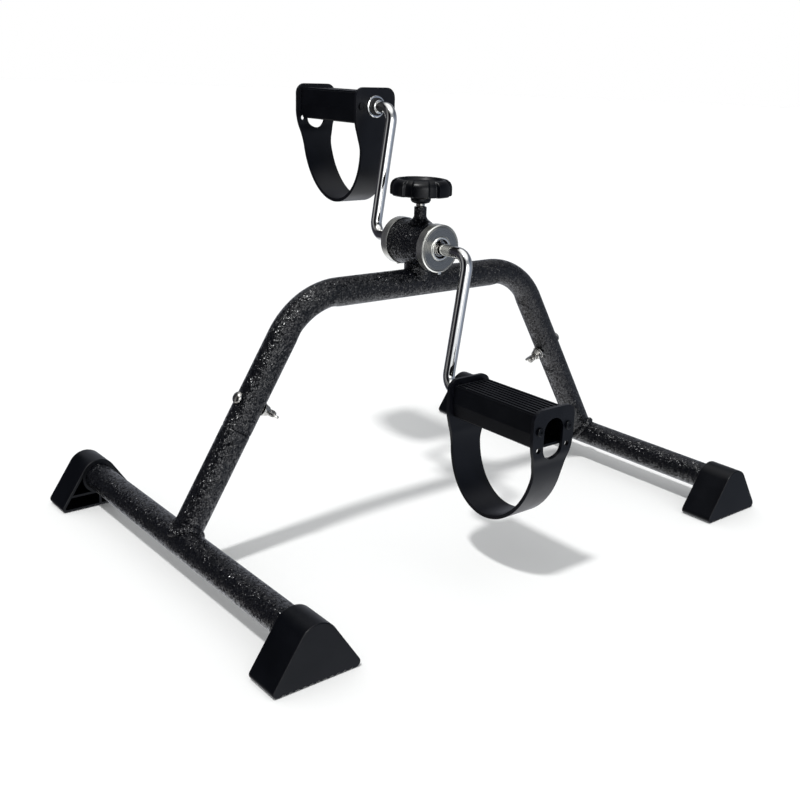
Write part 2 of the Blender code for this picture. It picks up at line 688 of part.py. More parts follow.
def strap_front():
    """The strap seen along X, as (y, z): heads with round corners, and a band that narrows below them."""
    corner = (HEAD_HALF - HEAD_CORNER_R, HEAD_TOP - HEAD_CORNER_R)
    right = [(BAND_HALF, STRAP_BOTTOM - 0.002)]
    for i in range(9):
        share = i / 8
        z = -0.0420 + share * 0.0340
        right.append((BAND_HALF + (HEAD_HALF - BAND_HALF) * share * share * (3 - 2 * share), z))
    right += arc(corner, HEAD_CORNER_R, 0, 90, 8)
    return right + [(-y, z) for y, z in reversed(right)]


def make_strap(name, here, section):
    outer = strap_side()
    outline = outer + list(reversed(offset_inwards(outer, STRAP_T)))
    seen_from_side = here @ Matrix(((1, 0, 0, 0), (0, 0, -1, 0), (0, 1, 0, 0), (0, 0, 0, 1)))
    strap = plate(f"{name}_pedal_strap", outline, -0.03, 0.03, seen_from_side, STRAP_PLASTIC)
    front = plate(f"{name}_strap_front", strap_front(), -0.06, 0.06, here @ section)
    combine(strap, front, "INTERSECT")
    window = (arc((0, WINDOW_TOP - WINDOW_HALF), WINDOW_HALF, 0, 180, 12)
              + arc((0, WINDOW_BOTTOM + WINDOW_HALF), WINDOW_HALF, 180, 360, 12))
    cut(strap, plate(f"{name}_strap_window", window, 0.03, 0.06, here @ section),
        cylinder(f"{name}_strap_bore", BEARING_R + GAP, -0.06, -0.03, here @ TO_X))
    for side in (-1, 1):
        for drop, low in ((0.0, -0.06), (SPARE_HOLE_DROP, 0.03)):
            at = here @ Matrix.Translation((0, side * PEG_Y, -drop)) @ TO_X
            cut(strap, cylinder(f"{name}_strap_hole_{side}_{drop}", PEG_R + GAP, low, 0.06, at, segments=12))
    return strap


def make_pedal(name, empty):
    here = spindle_matrix(name)
    section = Matrix(((0, 0, 1, 0), (1, 0, 0, 0), (0, 1, 0, 0), (0, 0, 0, 1)))
    along = here @ TO_X
    bore = ROD_R + GAP
    nose = -HEAD_X + 0.0002  # the bearing's end, level with the strap's head
    bearing = turned(f"{name}_pedal_bearing", [(BEARING_R, SPINDLE_TUBE_TO), (BEARING_R, nose), (bore, nose),
                                               (bore, SPINDLE_TUBE_TO)], along, NYLON)
    face = -HEAD_X - GAP
    washer = turned(f"{name}_pedal_washer", [(bore, face), (WASHER_RING_R, face),
                                             (WASHER_RING_R, face - 0.0008),
                                             (WASHER_RING_R - 0.0006, face - 0.0014),
                                             (bore, face - 0.0014)], along, CHROME, 24)
    face -= 0.0014 + GAP
    thrust = turned(f"{name}_thrust_ring", [(bore, face), (THRUST_R, face), (THRUST_R, face - 0.0006),
                                            (THRUST_R - 0.0004, face - 0.0010), (bore, face - 0.0010)],
                                            along, NYLON, 24)
    for piece in (make_pedal_body(name, here, section), make_strap(name, here, section), bearing, washer,
                  thrust):
        moved(piece, empty)


# Frame bolts


def bolt_matrix(side):
    """On the leg's axis at the bolt, with Z pointing inwards along the bolt."""
    return leg_matrix(side) @ Matrix.Translation((0, 0, BOLT_AT)) @ Matrix.Rotation(-math.pi / 2, 4, "X")


def make_frame_bolt(name, side):
    """A round-headed bolt through the leg, held inside it by a washer and a wing nut."""
    here = bolt_matrix(side)
    under_head = -TUBE_R - GAP
    dome = [(BOLT_HEAD_R * math.sin(math.radians(a)), under_head - BOLT_HEAD_T * math.cos(math.radians(a)))
            for a in range(90, -1, -15)]
    dome[-1] = (0, under_head - BOLT_HEAD_T)
    turned(f"{name}_frame_bolt", [(0, BOLT_END), (BOLT_R - 0.0005, BOLT_END), (BOLT_R, BOLT_END - 0.0005),
                                  (BOLT_R, under_head)] + dome, here, ZINC, 24)
    low = TUBE_R + GAP
    washer_empty = axis_empty(f"{name}_washer_axis", here)
    washer = turned(f"{name}_bolt_washer", [(WASHER_R, low + WASHER_T), (WASHER_R, low), (BOLT_HOLE_R, low),
                                            (BOLT_HOLE_R, low + WASHER_T)], here, ZINC, 24)
    moved(washer, washer_empty)
    make_wing_nut(name, here, low + WASHER_T + GAP)


def make_wing_nut(name, here, low):
    bore = BOLT_R + GAP
    top = low + NUT_HEIGHT
    nut = turned(f"{name}_wing_nut", [(bore, top), (0.0042, top), (0.0054, low + 0.0008), (0.0054, low),
                                      (bore, low)],
                 here, ZINC, 24)
    wing = [(0.0035, low + 0.0006), (0.0050, low + 0.0010), (0.0094, low + 0.0038), (0.0116, low + 0.0062),
            (0.0123, low + 0.0084), (0.0116, low + 0.0098), (0.0100, low + 0.0100), (0.0082, low + 0.0084),
            (0.0062, low + 0.0060), (0.0035, top - 0.0004)]
    spread = Matrix.Rotation(math.radians(WING_TURN[name]), 4, "Z")
    edgeways = Matrix.Rotation(math.pi / 2, 4, "X")
    for i, turn in enumerate((Matrix(), HALF_TURN)):
        join(nut, plate(f"{name}_wing_{i}", wing, -0.0010, 0.0010, here @ spread @ turn @ edgeways))
    cut(nut, cylinder(f"{name}_nut_bore", bore, low - 0.002, top + 0.002, here, segments=24))
    empty = axis_empty(f"{name}_wing_nut_axis", here)
    moved(nut, empty)


def build():
    make_arch()
    for name, side in SIDES.items():
        make_floor_bar(name, side)
        make_upright(name, side)
        make_frame_bolt(name, side)
        side_y = -BAR_Y if name == "left" else BAR_Y
        for end_name, end in ENDS.items():
            make_foot(f"{name}_{end_name}_foot", end, side_y)
    make_hub_shell()
    for name, end in ENDS.items():
        make_hub_cap(name, end)
        make_hub_bush(name, end)
        make_retaining_ring(name, end)
    make_brake(axis_empty("knob_axis", Matrix.Translation((0, 0, KNOB_BODY_Z))),
               axis_empty("plug_axis", Matrix.Translation((0, 0, HUB_Z + SLEEVE_R))))
    make_crank(axis_empty("crank_axis", crank_matrix()))
    for name in ENDS:
        make_pedal(name, axis_empty(f"{name}_pedal_axis", spindle_matrix(name)))


build()
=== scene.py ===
"""Pedal exerciser: the finished surfaces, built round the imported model. A painted tube frame on four
moulded feet, a hub with pressed caps, a chrome rod crank, and two ribbed pedals in moulded straps.
Everything is in metres, with +X along the crank's axis and +Y along the arch."""

import json
import math

import bmesh
import bpy
from bpy.props import FloatProperty, FloatVectorProperty, IntProperty, PointerProperty
from mathutils import Matrix, Vector


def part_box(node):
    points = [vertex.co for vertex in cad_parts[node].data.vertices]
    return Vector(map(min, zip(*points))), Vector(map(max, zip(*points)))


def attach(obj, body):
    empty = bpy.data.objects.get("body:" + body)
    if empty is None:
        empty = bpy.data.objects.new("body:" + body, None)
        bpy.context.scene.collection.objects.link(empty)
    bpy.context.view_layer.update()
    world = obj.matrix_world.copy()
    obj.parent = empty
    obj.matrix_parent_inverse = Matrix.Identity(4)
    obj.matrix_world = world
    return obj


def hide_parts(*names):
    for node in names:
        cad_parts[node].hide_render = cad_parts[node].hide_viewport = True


bl_info = {
    "name": "Pedal Exerciser",
    "version": (1, 0, 0),
    "blender": (4, 5, 0),
    "location": "3D View > Sidebar > Exerciser",
    "description": "Makes the finished pieces of a pedal exerciser round its packed model",
    "category": "Add Mesh",
}

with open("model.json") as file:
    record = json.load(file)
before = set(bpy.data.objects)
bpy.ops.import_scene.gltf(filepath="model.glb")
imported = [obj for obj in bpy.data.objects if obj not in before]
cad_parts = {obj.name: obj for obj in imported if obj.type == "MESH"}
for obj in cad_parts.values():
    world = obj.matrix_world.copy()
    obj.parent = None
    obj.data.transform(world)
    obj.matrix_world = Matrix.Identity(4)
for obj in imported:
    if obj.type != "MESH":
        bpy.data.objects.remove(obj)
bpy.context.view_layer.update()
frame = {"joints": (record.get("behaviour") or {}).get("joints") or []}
JOINTS = {joint["name"]: joint for joint in frame["joints"]}

GAP = 0.0003  # between pieces that touch

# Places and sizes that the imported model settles
BAR_LOW, BAR_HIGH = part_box("left_floor_bar")
TUBE_R = (BAR_HIGH.z - BAR_LOW.z) / 2
BAR_Z = (BAR_HIGH.z + BAR_LOW.z) / 2
BAR_Y = -(BAR_HIGH.y + BAR_LOW.y) / 2
BAR_HALF = BAR_HIGH.x
BOLT_PLACE = Vector(JOINTS["left_nut_turn"]["pos_m"])
BOLT_WAY = Vector(JOINTS["left_nut_turn"]["axis"])
LEG_LEAN = math.atan2(-BOLT_WAY.z, BOLT_WAY.y)
BOLT_AT = (BOLT_PLACE - Vector((0, -BAR_Y, BAR_Z))).length
ARCH_TOP_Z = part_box("arch_tube")[1].z - TUBE_R
FOOT_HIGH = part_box("left_near_foot")[1]
HUB_Z = JOINTS["crank_spin"]["pos_m"][2]
HOUSING_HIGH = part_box("hub_housing")[1]
HUB_R = HOUSING_HIGH.z - HUB_Z
HUB_HALF = HOUSING_HIGH.x
BOSS_TOP_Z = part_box("knob_boss")[1].z
KNOB_LOW, KNOB_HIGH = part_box("brake_knob")
SCREW_LOW, SCREW_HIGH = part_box("brake_screw")
NEAR_SPINDLE = Vector(JOINTS["near_pedal_spin"]["pos_m"])
CRANK_RADIUS = math.hypot(NEAR_SPINDLE.y, HUB_Z - NEAR_SPINDLE.z)
CRANK_LEAN = math.atan2(-NEAR_SPINDLE.y, HUB_Z - NEAR_SPINDLE.z)
SPINDLE_END_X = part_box("crank")[1].x
STRAP_LOW, STRAP_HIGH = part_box("near_pedal_strap")
HEAD_X = STRAP_HIGH.x - NEAR_SPINDLE.x
HEAD_TOP = STRAP_HIGH.z - NEAR_SPINDLE.z
STRAP_BOTTOM = STRAP_LOW.z - NEAR_SPINDLE.z
BODY_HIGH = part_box("near_pedal_body")[1]

# Sizes that two pieces share
BOLT_HOLE_R = 0.0033
SCREW_HOLE_R = 0.0043
BEARING_R = 0.0076
PEG_SHANK_R = 0.0021
PEG_Y = 0.0153  # from the spindle's axis to each peg
THROUGH = 0.04  # a cutter's reach past the middle of what it goes through

HALF_TURN = Matrix.Rotation(math.pi, 4, "Z")
TO_X = Matrix.Rotation(math.pi / 2, 4, "Y")  # turns a piece made along +Z so that it runs along +X
SECTION = Matrix(((0, 0, 1, 0), (1, 0, 0, 0), (0, 1, 0, 0), (0, 0, 0, 1)))  # (y, z) outlines, along X
SIDES = {"left": Matrix(), "right": HALF_TURN}
ENDS = {"near": Matrix(), "far": HALF_TURN}


# Sizes and colours that can be changed


def length(name, description, default):
    return FloatProperty(name=name, description=description, default=default, min=0.0, unit="LENGTH",
                         precision=5)


def colour(name, description, default):
    return FloatVectorProperty(name=name, description=description, default=default, size=3, min=0.0, max=1.0,
                               subtype="COLOR")


class FrameSizes(bpy.types.PropertyGroup):
    """The painted tubes and their joints."""
    tube_wall: length("Tube wall", "Thickness of the frame tube's wall", 0.0015)
    seam_at: length("Seam", "Distance up the leg from the floor bar's axis to the leg's joint", 0.0970)
    neck_length: length("Neck", "Length of the necked end that slides into the arch", 0.0550)
    arch_bend: length("Arch bend", "Radius of the arch's two bends, on the tube's axis", 0.0640)
    bend_flat: FloatProperty(name="Bend flattening",
                             description="Share by which the inside of a bend is flattened",
                             default=0.13, min=0.0, max=0.3, subtype="FACTOR")
    weld_radius: length("Weld bead", "Radius of the bead at the foot of each leg", 0.0030)
    weld_ripple: FloatProperty(name="Weld ripple",
                               description="Height of the bead's ripples, as a share of it",
                               default=0.10, min=0.0, max=0.4, subtype="FACTOR")


class FootSizes(bpy.types.PropertyGroup):
    """The four wedge feet."""
    depth: length("Depth", "Length of a foot along the floor bar", 0.0310)
    half_width: length("Half width", "Half of the sole's width", 0.0350)
    crown: length("Crown", "Radius of the round top", 0.0165)
    corner: length("Corner", "Radius of the corners at the sole", 0.0040)
    wall: length("Wall", "Thickness of the moulding", 0.0026)
    grooves: IntProperty(name="Grooves", description="Number of grooves across the sole", default=11, min=1,
                         max=30)
    pitch: length("Groove pitch", "Distance between two grooves of the sole", 0.0054)
    groove: length("Groove", "Radius of a groove of the sole", 0.0019)


class HubSizes(bpy.types.PropertyGroup):
    """The hub, its caps and the boss on top."""
    bore: length("Bore", "Radius of the hub's bore", 0.0165)
    cap_radius: length("Cap radius", "Radius of the pressed caps", 0.0204)
    cap_from: length("Cap skirt", "Distance from the middle to the edge of a cap's skirt", 0.0205)
    cap_to: length("Cap face", "Distance from the middle to a cap's face", 0.0290)
    cap_bore: length("Cap bore", "Radius of the hole in a cap", 0.0082)
    lip: length("Lip", "Radius of the raised lip round a cap's hole", 0.0100)
    stem: length("Stem", "Radius of the stub that carries the hub", 0.0125)
    boss: length("Boss", "Radius of the threaded boss", 0.0054)


class BrakeSizes(bpy.types.PropertyGroup):
    """The brake screw and its knob."""
    screw: length("Screw", "Radius of the brake screw", 0.0040)
    screw_pitch: length("Screw pitch", "Pitch of the brake screw's thread", 0.00125)
    knob: length("Knob", "Radius of the knob", 0.0265)
    lobes: IntProperty(name="Lobes", description="Number of lobes round the knob", default=7, min=3, max=12)
    scallop: length("Scallop", "Depth of the hollows between the lobes", 0.0024)
    lobe_turn: FloatProperty(name="Lobe turn", description="How far the lobes are turned about the screw",
                             default=math.radians(14.0), subtype="ANGLE")
    collar: length("Collar", "Radius of the short collar under the knob", 0.0087)


class CrankSizes(bpy.types.PropertyGroup):
    """The bent rod."""
    rod: length("Rod", "Radius of the rod", 0.0051)
    arm_x: length("Arm", "Distance of each arm from the middle", 0.0640)
    bend: length("Bend", "Radius of the rod's bends, on its axis", 0.0125)
    shoulder: length("Shoulder", "Radius of the upset collar behind each pedal", 0.0060)


class PedalSizes(bpy.types.PropertyGroup):
    """The two pedals and their straps."""
    strap_thickness: length("Strap", "Thickness of the strap", 0.0030)
    body_wall: length("Body wall", "Thickness of the pedal body's wall", 0.0024)
    ribs: IntProperty(name="Ribs", description="Number of ribs along the tread", default=8, min=2, max=16)
    rib_height: length("Rib height", "Height of the tread's ribs", 0.0013)
    head_half: length("Head", "Half of the width of the strap's two heads", 0.0220)
    band_half: length("Band", "Half of the width of the strap below the heads", 0.0152)
    window_half: length("Window", "Half of the width of the window in the outer head", 0.0103)
    peg: length("Peg", "Radius of the pegs' round heads", 0.0034)


class BoltSizes(bpy.types.PropertyGroup):
    """The bolts that hold the legs."""
    bolt: length("Bolt", "Radius of the bolt", 0.0029)
    pitch: length("Pitch", "Pitch of the bolt's thread", 0.0010)
    head: length("Head", "Radius of the bolt's domed head", 0.0052)
    washer: length("Washer", "Radius of the washer", 0.0062)
    left_turn: FloatProperty(name="Left wing nut", description="How the left wing nut was left by hand",
                             default=math.radians(4), subtype="ANGLE")
    right_turn: FloatProperty(name="Right wing nut", description="How the right wing nut was left by hand",
                              default=math.radians(24), subtype="ANGLE")


class Finishes(bpy.types.PropertyGroup):
    """Colours of the finishes."""
    paint: colour("Paint", "Hammered paint on the frame", (0.0013, 0.0016, 0.0028))
    paint_crest: colour("Paint crests", "The lighter crests of the hammered paint", (0.0060, 0.0066, 0.0090))
    plastic: colour("Plastic", "Moulded feet, knob and pedal bodies", (0.0006, 0.0009, 0.0019))
    strap: colour("Strap", "The pedals' straps", (0.0008, 0.0011, 0.0026))
    chrome: colour("Chrome", "The crank", (0.80, 0.80, 0.78))
    cap: colour("Caps", "The turned steel of the hub caps", (0.33, 0.33, 0.31))
    zinc: colour("Zinc", "Rings and fasteners", (0.50, 0.49, 0.46))
    nylon: colour("Nylon", "Bearings and thrust rings", (0.012, 0.012, 0.013))


class StageSizes(bpy.types.PropertyGroup):
    """The camera, the floor and the lights."""
    lens: FloatProperty(name="Lens", description="The camera's focal length in millimetres", default=46.53,
                        min=10.0, max=300.0)
    roll: FloatProperty(name="Roll", description="The camera's roll about its own view",
                        default=math.radians(2.10),
                        subtype="ANGLE")
    floor_colour: colour("Floor", "The pale floor", (0.90, 0.90, 0.89))
    key_power: FloatProperty(name="Key light", description="Strength of the overhead light", default=1.9,
                             min=0.0)
    key_spread: FloatProperty(name="Key spread",
                              description="How wide the overhead light is, which softens shadows",
                              default=math.radians(5.0), subtype="ANGLE")
    room_power: FloatProperty(name="Room light",
                              description="Brightness of the pale room on what is not shiny",
                              default=0.68, min=0.0)


# Trees of nodes, for materials and for geometry


def wire(tree, kind, inputs=None, **settings):
    """A node with its settings, and its inputs set or linked by name or by number."""
    node = tree.nodes.new(kind)
    for key, value in settings.items():
        setattr(node, key, value)
    for label, value in (inputs or {}).items():
        if isinstance(value, bpy.types.NodeSocket):
            tree.links.new(value, node.inputs[label])
        else:
            node.inputs[label].default_value = value
    return node


def math_of(tree, operation, first, second=0.0):
    return wire(tree, "ShaderNodeMath", {0: first, 1: second}, operation=operation).outputs[0]


def spread(tree, value, from_low, from_high, to_low, to_high):
    """The value, moved from one range to another and held inside it."""
    inputs = {"Value": value, "From Min": from_low, "From Max": from_high, "To Min": to_low,
              "To Max": to_high}
    return wire(tree, "ShaderNodeMapRange", inputs).outputs["Result"]


def new_finish(name, base, metallic, roughness, **shader_values):
    """A material with its Principled shader set, and the object's own coordinates."""
    made = bpy.data.materials.new(name)
    made.use_nodes = True
    tree = made.node_tree
    shader = tree.nodes["Principled BSDF"]
    shader.inputs["Base Color"].default_value = (*base, 1.0)
    shader.inputs["Metallic"].default_value = metallic
    shader.inputs["Roughness"].default_value = roughness
    for label, value in shader_values.items():
        shader.inputs[label.replace("_", " ")].default_value = value
    place = wire(tree, "ShaderNodeTexCoord").outputs["Object"]
    return made, tree, shader, place


def noise(tree, place, scale, detail=2.0, roughness=0.5):
    inputs = {"Vector": place, "Scale": scale, "Detail": detail, "Roughness": roughness}
    return wire(tree, "ShaderNodeTexNoise", inputs).outputs["Fac"]


def mixed_colour(tree, share, low, high):
    """A colour between two, by a share from 0 to 1."""
    ramp = wire(tree, "ShaderNodeValToRGB", {"Fac": share})
    ramp.color_ramp.elements[0].color = (*low, 1.0)
    ramp.color_ramp.elements[1].color = (*high, 1.0)
    return ramp.outputs["Color"]


def raised(tree, shader, height, distance, strength=1.0, normal=None):
    """Relief on the surface, by a height from 0 to 1 and the distance that it stands for."""
    bump = wire(tree, "ShaderNodeBump", {"Height": height, "Distance": distance, "Strength": strength})
    if normal is not None:
        tree.links.new(normal, bump.inputs["Normal"])
    tree.links.new(bump.outputs["Normal"], shader.inputs["Normal"])
    return bump.outputs["Normal"]


def hammered_paint(finishes):
    """Black paint that has drawn up into small round crests, which catch the light one by one."""
    made, tree, shader, place = new_finish("hammered_black_paint", finishes.paint, 0.0, 0.24,
                                           Specular_IOR_Level=0.40)
    drift = wire(tree, "ShaderNodeTexNoise",
                 {"Vector": place, "Scale": 420.0, "Detail": 1.0}).outputs["Color"]
    pushed = wire(tree, "ShaderNodeVectorMath", {0: drift, "Scale": 0.0012}, operation="SCALE").outputs[0]
    warped = wire(tree, "ShaderNodeVectorMath", {0: place, 1: pushed}, operation="ADD").outputs[0]
    cells = wire(tree, "ShaderNodeTexVoronoi", {"Vector": warped, "Scale": 760.0})
    crest = spread(tree, cells.outputs["Distance"], 0.10, 0.60, 1.0, 0.0)
    tree.links.new(mixed_colour(tree, crest, finishes.paint, finishes.paint_crest),
                   shader.inputs["Base Color"])
    tree.links.new(spread(tree, noise(tree, place, 60.0), 0.3, 0.7, 0.17, 0.27), shader.inputs["Roughness"])
    lean = wire(tree, "ShaderNodeVectorMath", {0: cells.outputs["Color"], 1: (0.5, 0.5, 0.5)},
                operation="SUBTRACT").outputs[0]
    leaning = wire(tree, "ShaderNodeVectorMath", {0: lean, "Scale": 0.75}, operation="SCALE").outputs[0]
    face = wire(tree, "ShaderNodeNewGeometry").outputs["Normal"]
    tilted = wire(tree, "ShaderNodeVectorMath", {0: face, 1: leaning}, operation="ADD").outputs[0]
    normal = wire(tree, "ShaderNodeVectorMath", {0: tilted}, operation="NORMALIZE").outputs[0]
    raised(tree, shader, crest, 0.00020, 0.7, normal)
    return made


def moulded(name, base, roughness, shine, grain, distance, worn):
    """Moulded plastic: a fine spark-eroded grain, and broad soft changes of gloss from handling."""
    made, tree, shader, place = new_finish(name, base, 0.0, roughness, Specular_IOR_Level=shine)
    patches = noise(tree, place, 38.0, 3.0)
    grain_height = noise(tree, place, grain, 3.0, 0.6)
    lighter = tuple(channel * worn for channel in base)
    tree.links.new(mixed_colour(tree, spread(tree, patches, 0.35, 0.7, 0.0, 1.0), base, lighter),
                   shader.inputs["Base Color"])
    tree.links.new(spread(tree, patches, 0.3, 0.7, roughness - 0.06, roughness + 0.08),
                   shader.inputs["Roughness"])
    raised(tree, shader, grain_height, distance, 0.5)
    return made


def chrome_plate(finishes):
    """Bright plating over a drawn rod: faint ripples, and small dull patches."""
    made, tree, shader, place = new_finish("bright_chrome", finishes.chrome, 1.0, 0.07)
    tree.links.new(spread(tree, noise(tree, place, 120.0, 3.0), 0.35, 0.75, 0.045, 0.16),
                   shader.inputs["Roughness"])
    raised(tree, shader, noise(tree, place, 75.0, 1.0), 0.00022, 0.5)
    return made


def turned_steel(name, finishes, centre, rings):
    """Plated steel with fine rings round the hub's axis, as turning and polishing leave them, and a painted
    highlight: a much brighter colour on the cap's rim and skirt and on a ring round its lip.
    """
    made, tree, shader, place = new_finish(name, finishes.cap, 1.0, 0.30)
    parts = wire(tree, "ShaderNodeSeparateXYZ", {0: place})
    up = math_of(tree, "SUBTRACT", parts.outputs["Z"], centre)
    square = math_of(tree, "ADD", math_of(tree, "MULTIPLY", parts.outputs["Y"], parts.outputs["Y"]),
                     math_of(tree, "MULTIPLY", up, up))
    radius = math_of(tree, "SQRT", square)
    line = wire(tree, "ShaderNodeCombineXYZ", {"X": radius, "Y": parts.outputs["X"]}).outputs[0]
    hub = bpy.context.scene.exerciser_hub
    # Painted highlight: masks for the cap's rim and skirt and for a ring round the lip, where the colour is
    # made much brighter to stand in for the light these edges catch.
    rim = spread(tree, radius, hub.cap_radius - 0.0011, hub.cap_radius - 0.0006, 0.0, 1.0)
    lip = math_of(tree, "MULTIPLY", spread(tree, radius, hub.lip - 0.0018, hub.lip - 0.0014, 0.0, 1.0),
                  spread(tree, radius, hub.lip, hub.lip + 0.0004, 1.0, 0.0))
    painted_highlight = math_of(tree, "MAXIMUM", rim, lip)
    marks = wire(tree, "ShaderNodeTexNoise", {"Vector": line, "Scale": rings, "Detail": 3.0}).outputs["Fac"]
    speckle = noise(tree, place, 2200.0, 2.0)
    tree.links.new(spread(tree, marks, 0.3, 0.7, 0.24, 0.40), shader.inputs["Roughness"])
    darker = tuple(channel * 0.62 for channel in finishes.cap)
    brushed = mixed_colour(tree, spread(tree, speckle, 0.3, 0.7, 0.0, 1.0), darker, finishes.cap)
    # The painted highlight's colour, used on the rim, the skirt and the lip ring.
    bright = tuple(min(channel * 2.4, 1.0) for channel in finishes.cap)
    blend = wire(tree, "ShaderNodeMix", data_type="RGBA")
    for label, value in ((0, painted_highlight), (6, brushed)):
        tree.links.new(value, blend.inputs[label])
    blend.inputs[7].default_value = (*bright, 1.0)
    tree.links.new(blend.outputs[2], shader.inputs["Base Color"])
    raised(tree, shader, math_of(tree, "ADD", marks, math_of(tree, "MULTIPLY", speckle, 0.4)), 0.00003, 0.5)
    return made


def zinc_plate(finishes):
    """Bright zinc on small fasteners, with a faint crystal bloom."""
    made, tree, shader, place = new_finish("zinc_plated_steel", finishes.zinc, 1.0, 0.24)
    bloom = wire(tree, "ShaderNodeTexVoronoi", {"Vector": place, "Scale": 700.0}).outputs["Distance"]
    darker = tuple(channel * 0.7 for channel in finishes.zinc)
    tree.links.new(mixed_colour(tree, bloom, finishes.zinc, darker), shader.inputs["Base Color"])
    tree.links.new(spread(tree, noise(tree, place, 500.0, 3.0), 0.3, 0.7, 0.16, 0.36),
                   shader.inputs["Roughness"])
    raised(tree, shader, noise(tree, place, 1400.0, 2.0), 0.00004, 0.4)
    return made


def nylon(finishes):
    """Dull black nylon, a little translucent under its skin."""
    made, tree, shader, place = new_finish("nylon", finishes.nylon, 0.0, 0.5, Specular_IOR_Level=0.3)
    cloud = noise(tree, place, 220.0, 3.0)
    lighter = tuple(channel * 1.8 for channel in finishes.nylon)
    tree.links.new(mixed_colour(tree, cloud, finishes.nylon, lighter), shader.inputs["Base Color"])
    tree.links.new(spread(tree, cloud, 0.3, 0.7, 0.42, 0.6), shader.inputs["Roughness"])
    raised(tree, shader, cloud, 0.00005, 0.4)
    return made


def finish(name):
    """The named finish, made once."""
    made = bpy.data.materials.get(name)
    if made is not None:
        return made
    finishes = bpy.context.scene.exerciser_finishes
    makers = {
        "hammered_black_paint": lambda: hammered_paint(finishes),
        "black_plastic": lambda: moulded("black_plastic", finishes.plastic, 0.34, 0.22, 1900.0, 0.00006, 1.8),
        "moulded_strap": lambda: moulded("moulded_strap", finishes.strap, 0.36, 0.30, 1300.0, 0.00005, 1.7),
        "bright_chrome": lambda: chrome_plate(finishes),
        "cap_steel": lambda: turned_steel("cap_steel", finishes, HUB_Z, 2600.0),
        "zinc_plated_steel": lambda: zinc_plate(finishes),
        "nylon_black": lambda: nylon(finishes),
    }
    made = makers[name]()
    made.name = name
    return made


# Geometry trees


SOCKET_KINDS = {"count": "NodeSocketInt", "size": "NodeSocketFloat", "object": "NodeSocketObject",
                "material": "NodeSocketMaterial"}


def new_tree(name, inputs):
    """A geometry tree with named inputs. The material is always the last one."""
    tree = bpy.data.node_groups.new(name, "GeometryNodeTree")
    tree.is_modifier = True
    tree.interface.new_socket("Geometry", in_out="INPUT", socket_type="NodeSocketGeometry")
    for label, kind in [*inputs, ("Material", "material")]:
        tree.interface.new_socket(label, in_out="INPUT", socket_type=SOCKET_KINDS[kind])
    tree.interface.new_socket("Geometry", in_out="OUTPUT", socket_type="NodeSocketGeometry")
    return tree, wire(tree, "NodeGroupInput").outputs


def close_tree(tree, geometry, material):
    """The tree's end: real geometry, with its material."""
    real = wire(tree, "GeometryNodeRealizeInstances", {"Geometry": geometry})
    coated = wire(tree, "GeometryNodeSetMaterial", {"Geometry": real.outputs[0], "Material": material})
    wire(tree, "NodeGroupOutput", {"Geometry": coated.outputs[0]})
    return tree


def bent_tube_tree():
    """A round bar along a path, with every corner of the path bent to one radius."""
    tree, given = new_tree("bent_tube", [("Radius", "size"), ("Bend", "size"), ("Bend steps", "count"),
                                         ("Sides", "count")])
    path = wire(tree, "GeometryNodeMeshToCurve", {"Mesh": given["Geometry"]}).outputs["Curve"]
    bent = wire(tree, "GeometryNodeFilletCurve", {"Curve": path, "Count": given["Bend steps"],
                                                  "Radius": given["Bend"]}, mode="POLY").outputs["Curve"]
    ring = wire(tree, "GeometryNodeCurvePrimitiveCircle",
                {"Resolution": given["Sides"], "Radius": given["Radius"]},
                mode="RADIUS").outputs["Curve"]
    bar = wire(tree, "GeometryNodeCurveToMesh", {"Curve": bent, "Profile Curve": ring, "Fill Caps": True})
    return close_tree(tree, bar.outputs["Mesh"], given["Material"])


def weld_bead_tree():
    """A bead along a path, rippled like the pool marks of a weld."""
    tree, given = new_tree("weld_bead", [("Radius", "size"), ("Ripple", "size"), ("Ripples", "count"),
                                         ("Steps", "count")])
    path = wire(tree, "GeometryNodeMeshToCurve", {"Mesh": given["Geometry"]}).outputs["Curve"]
    points = math_of(tree, "MULTIPLY", given["Ripples"], given["Steps"])
    evened = wire(tree, "GeometryNodeResampleCurve", {"Curve": path, "Count": points}).outputs["Curve"]
    turn = math_of(tree, "DIVIDE", wire(tree, "GeometryNodeInputIndex").outputs[0], given["Steps"])
    wave = math_of(tree, "ABSOLUTE", math_of(tree, "SINE", math_of(tree, "MULTIPLY", turn, math.pi)))
    swell = math_of(tree, "ADD", 1.0, math_of(tree, "MULTIPLY", wave, given["Ripple"]))
    ring = wire(tree, "GeometryNodeCurvePrimitiveCircle", {"Resolution": 14, "Radius": given["Radius"]},
                mode="RADIUS").outputs["Curve"]
    bead = wire(tree, "GeometryNodeCurveToMesh", {"Curve": evened, "Profile Curve": ring, "Fill Caps": True})
    if "Scale" in bead.inputs:
        tree.links.new(swell, bead.inputs["Scale"])
    else:
        swollen = wire(tree, "GeometryNodeSetCurveRadius", {"Curve": evened, "Radius": swell})
        tree.links.new(swollen.outputs["Curve"], bead.inputs["Curve"])
    return close_tree(tree, bead.outputs["Mesh"], given["Material"])


def thread_tree():
    """The ridge of a screw thread: a helix with a four-sided section."""
    tree, given = new_tree("screw_thread", [("Radius", "size"), ("Pitch", "size"), ("Turns", "count"),
                                            ("Ridge", "size"), ("Steps", "count")])
    points = math_of(tree, "MULTIPLY", given["Turns"], given["Steps"])
    height = math_of(tree, "MULTIPLY", given["Turns"], given["Pitch"])
    helix = wire(tree, "GeometryNodeCurveSpiral", {"Resolution": points, "Rotations": given["Turns"],
                                                   "Start Radius": given["Radius"],
                                                   "End Radius": given["Radius"],
                                                   "Height": height}).outputs["Curve"]
    section = wire(tree, "GeometryNodeCurvePrimitiveCircle", {"Resolution": 4, "Radius": given["Ridge"]},
                   mode="RADIUS").outputs["Curve"]
    ridge = wire(tree, "GeometryNodeCurveToMesh",
                 {"Curve": helix, "Profile Curve": section, "Fill Caps": True})
    return close_tree(tree, ridge.outputs["Mesh"], given["Material"])


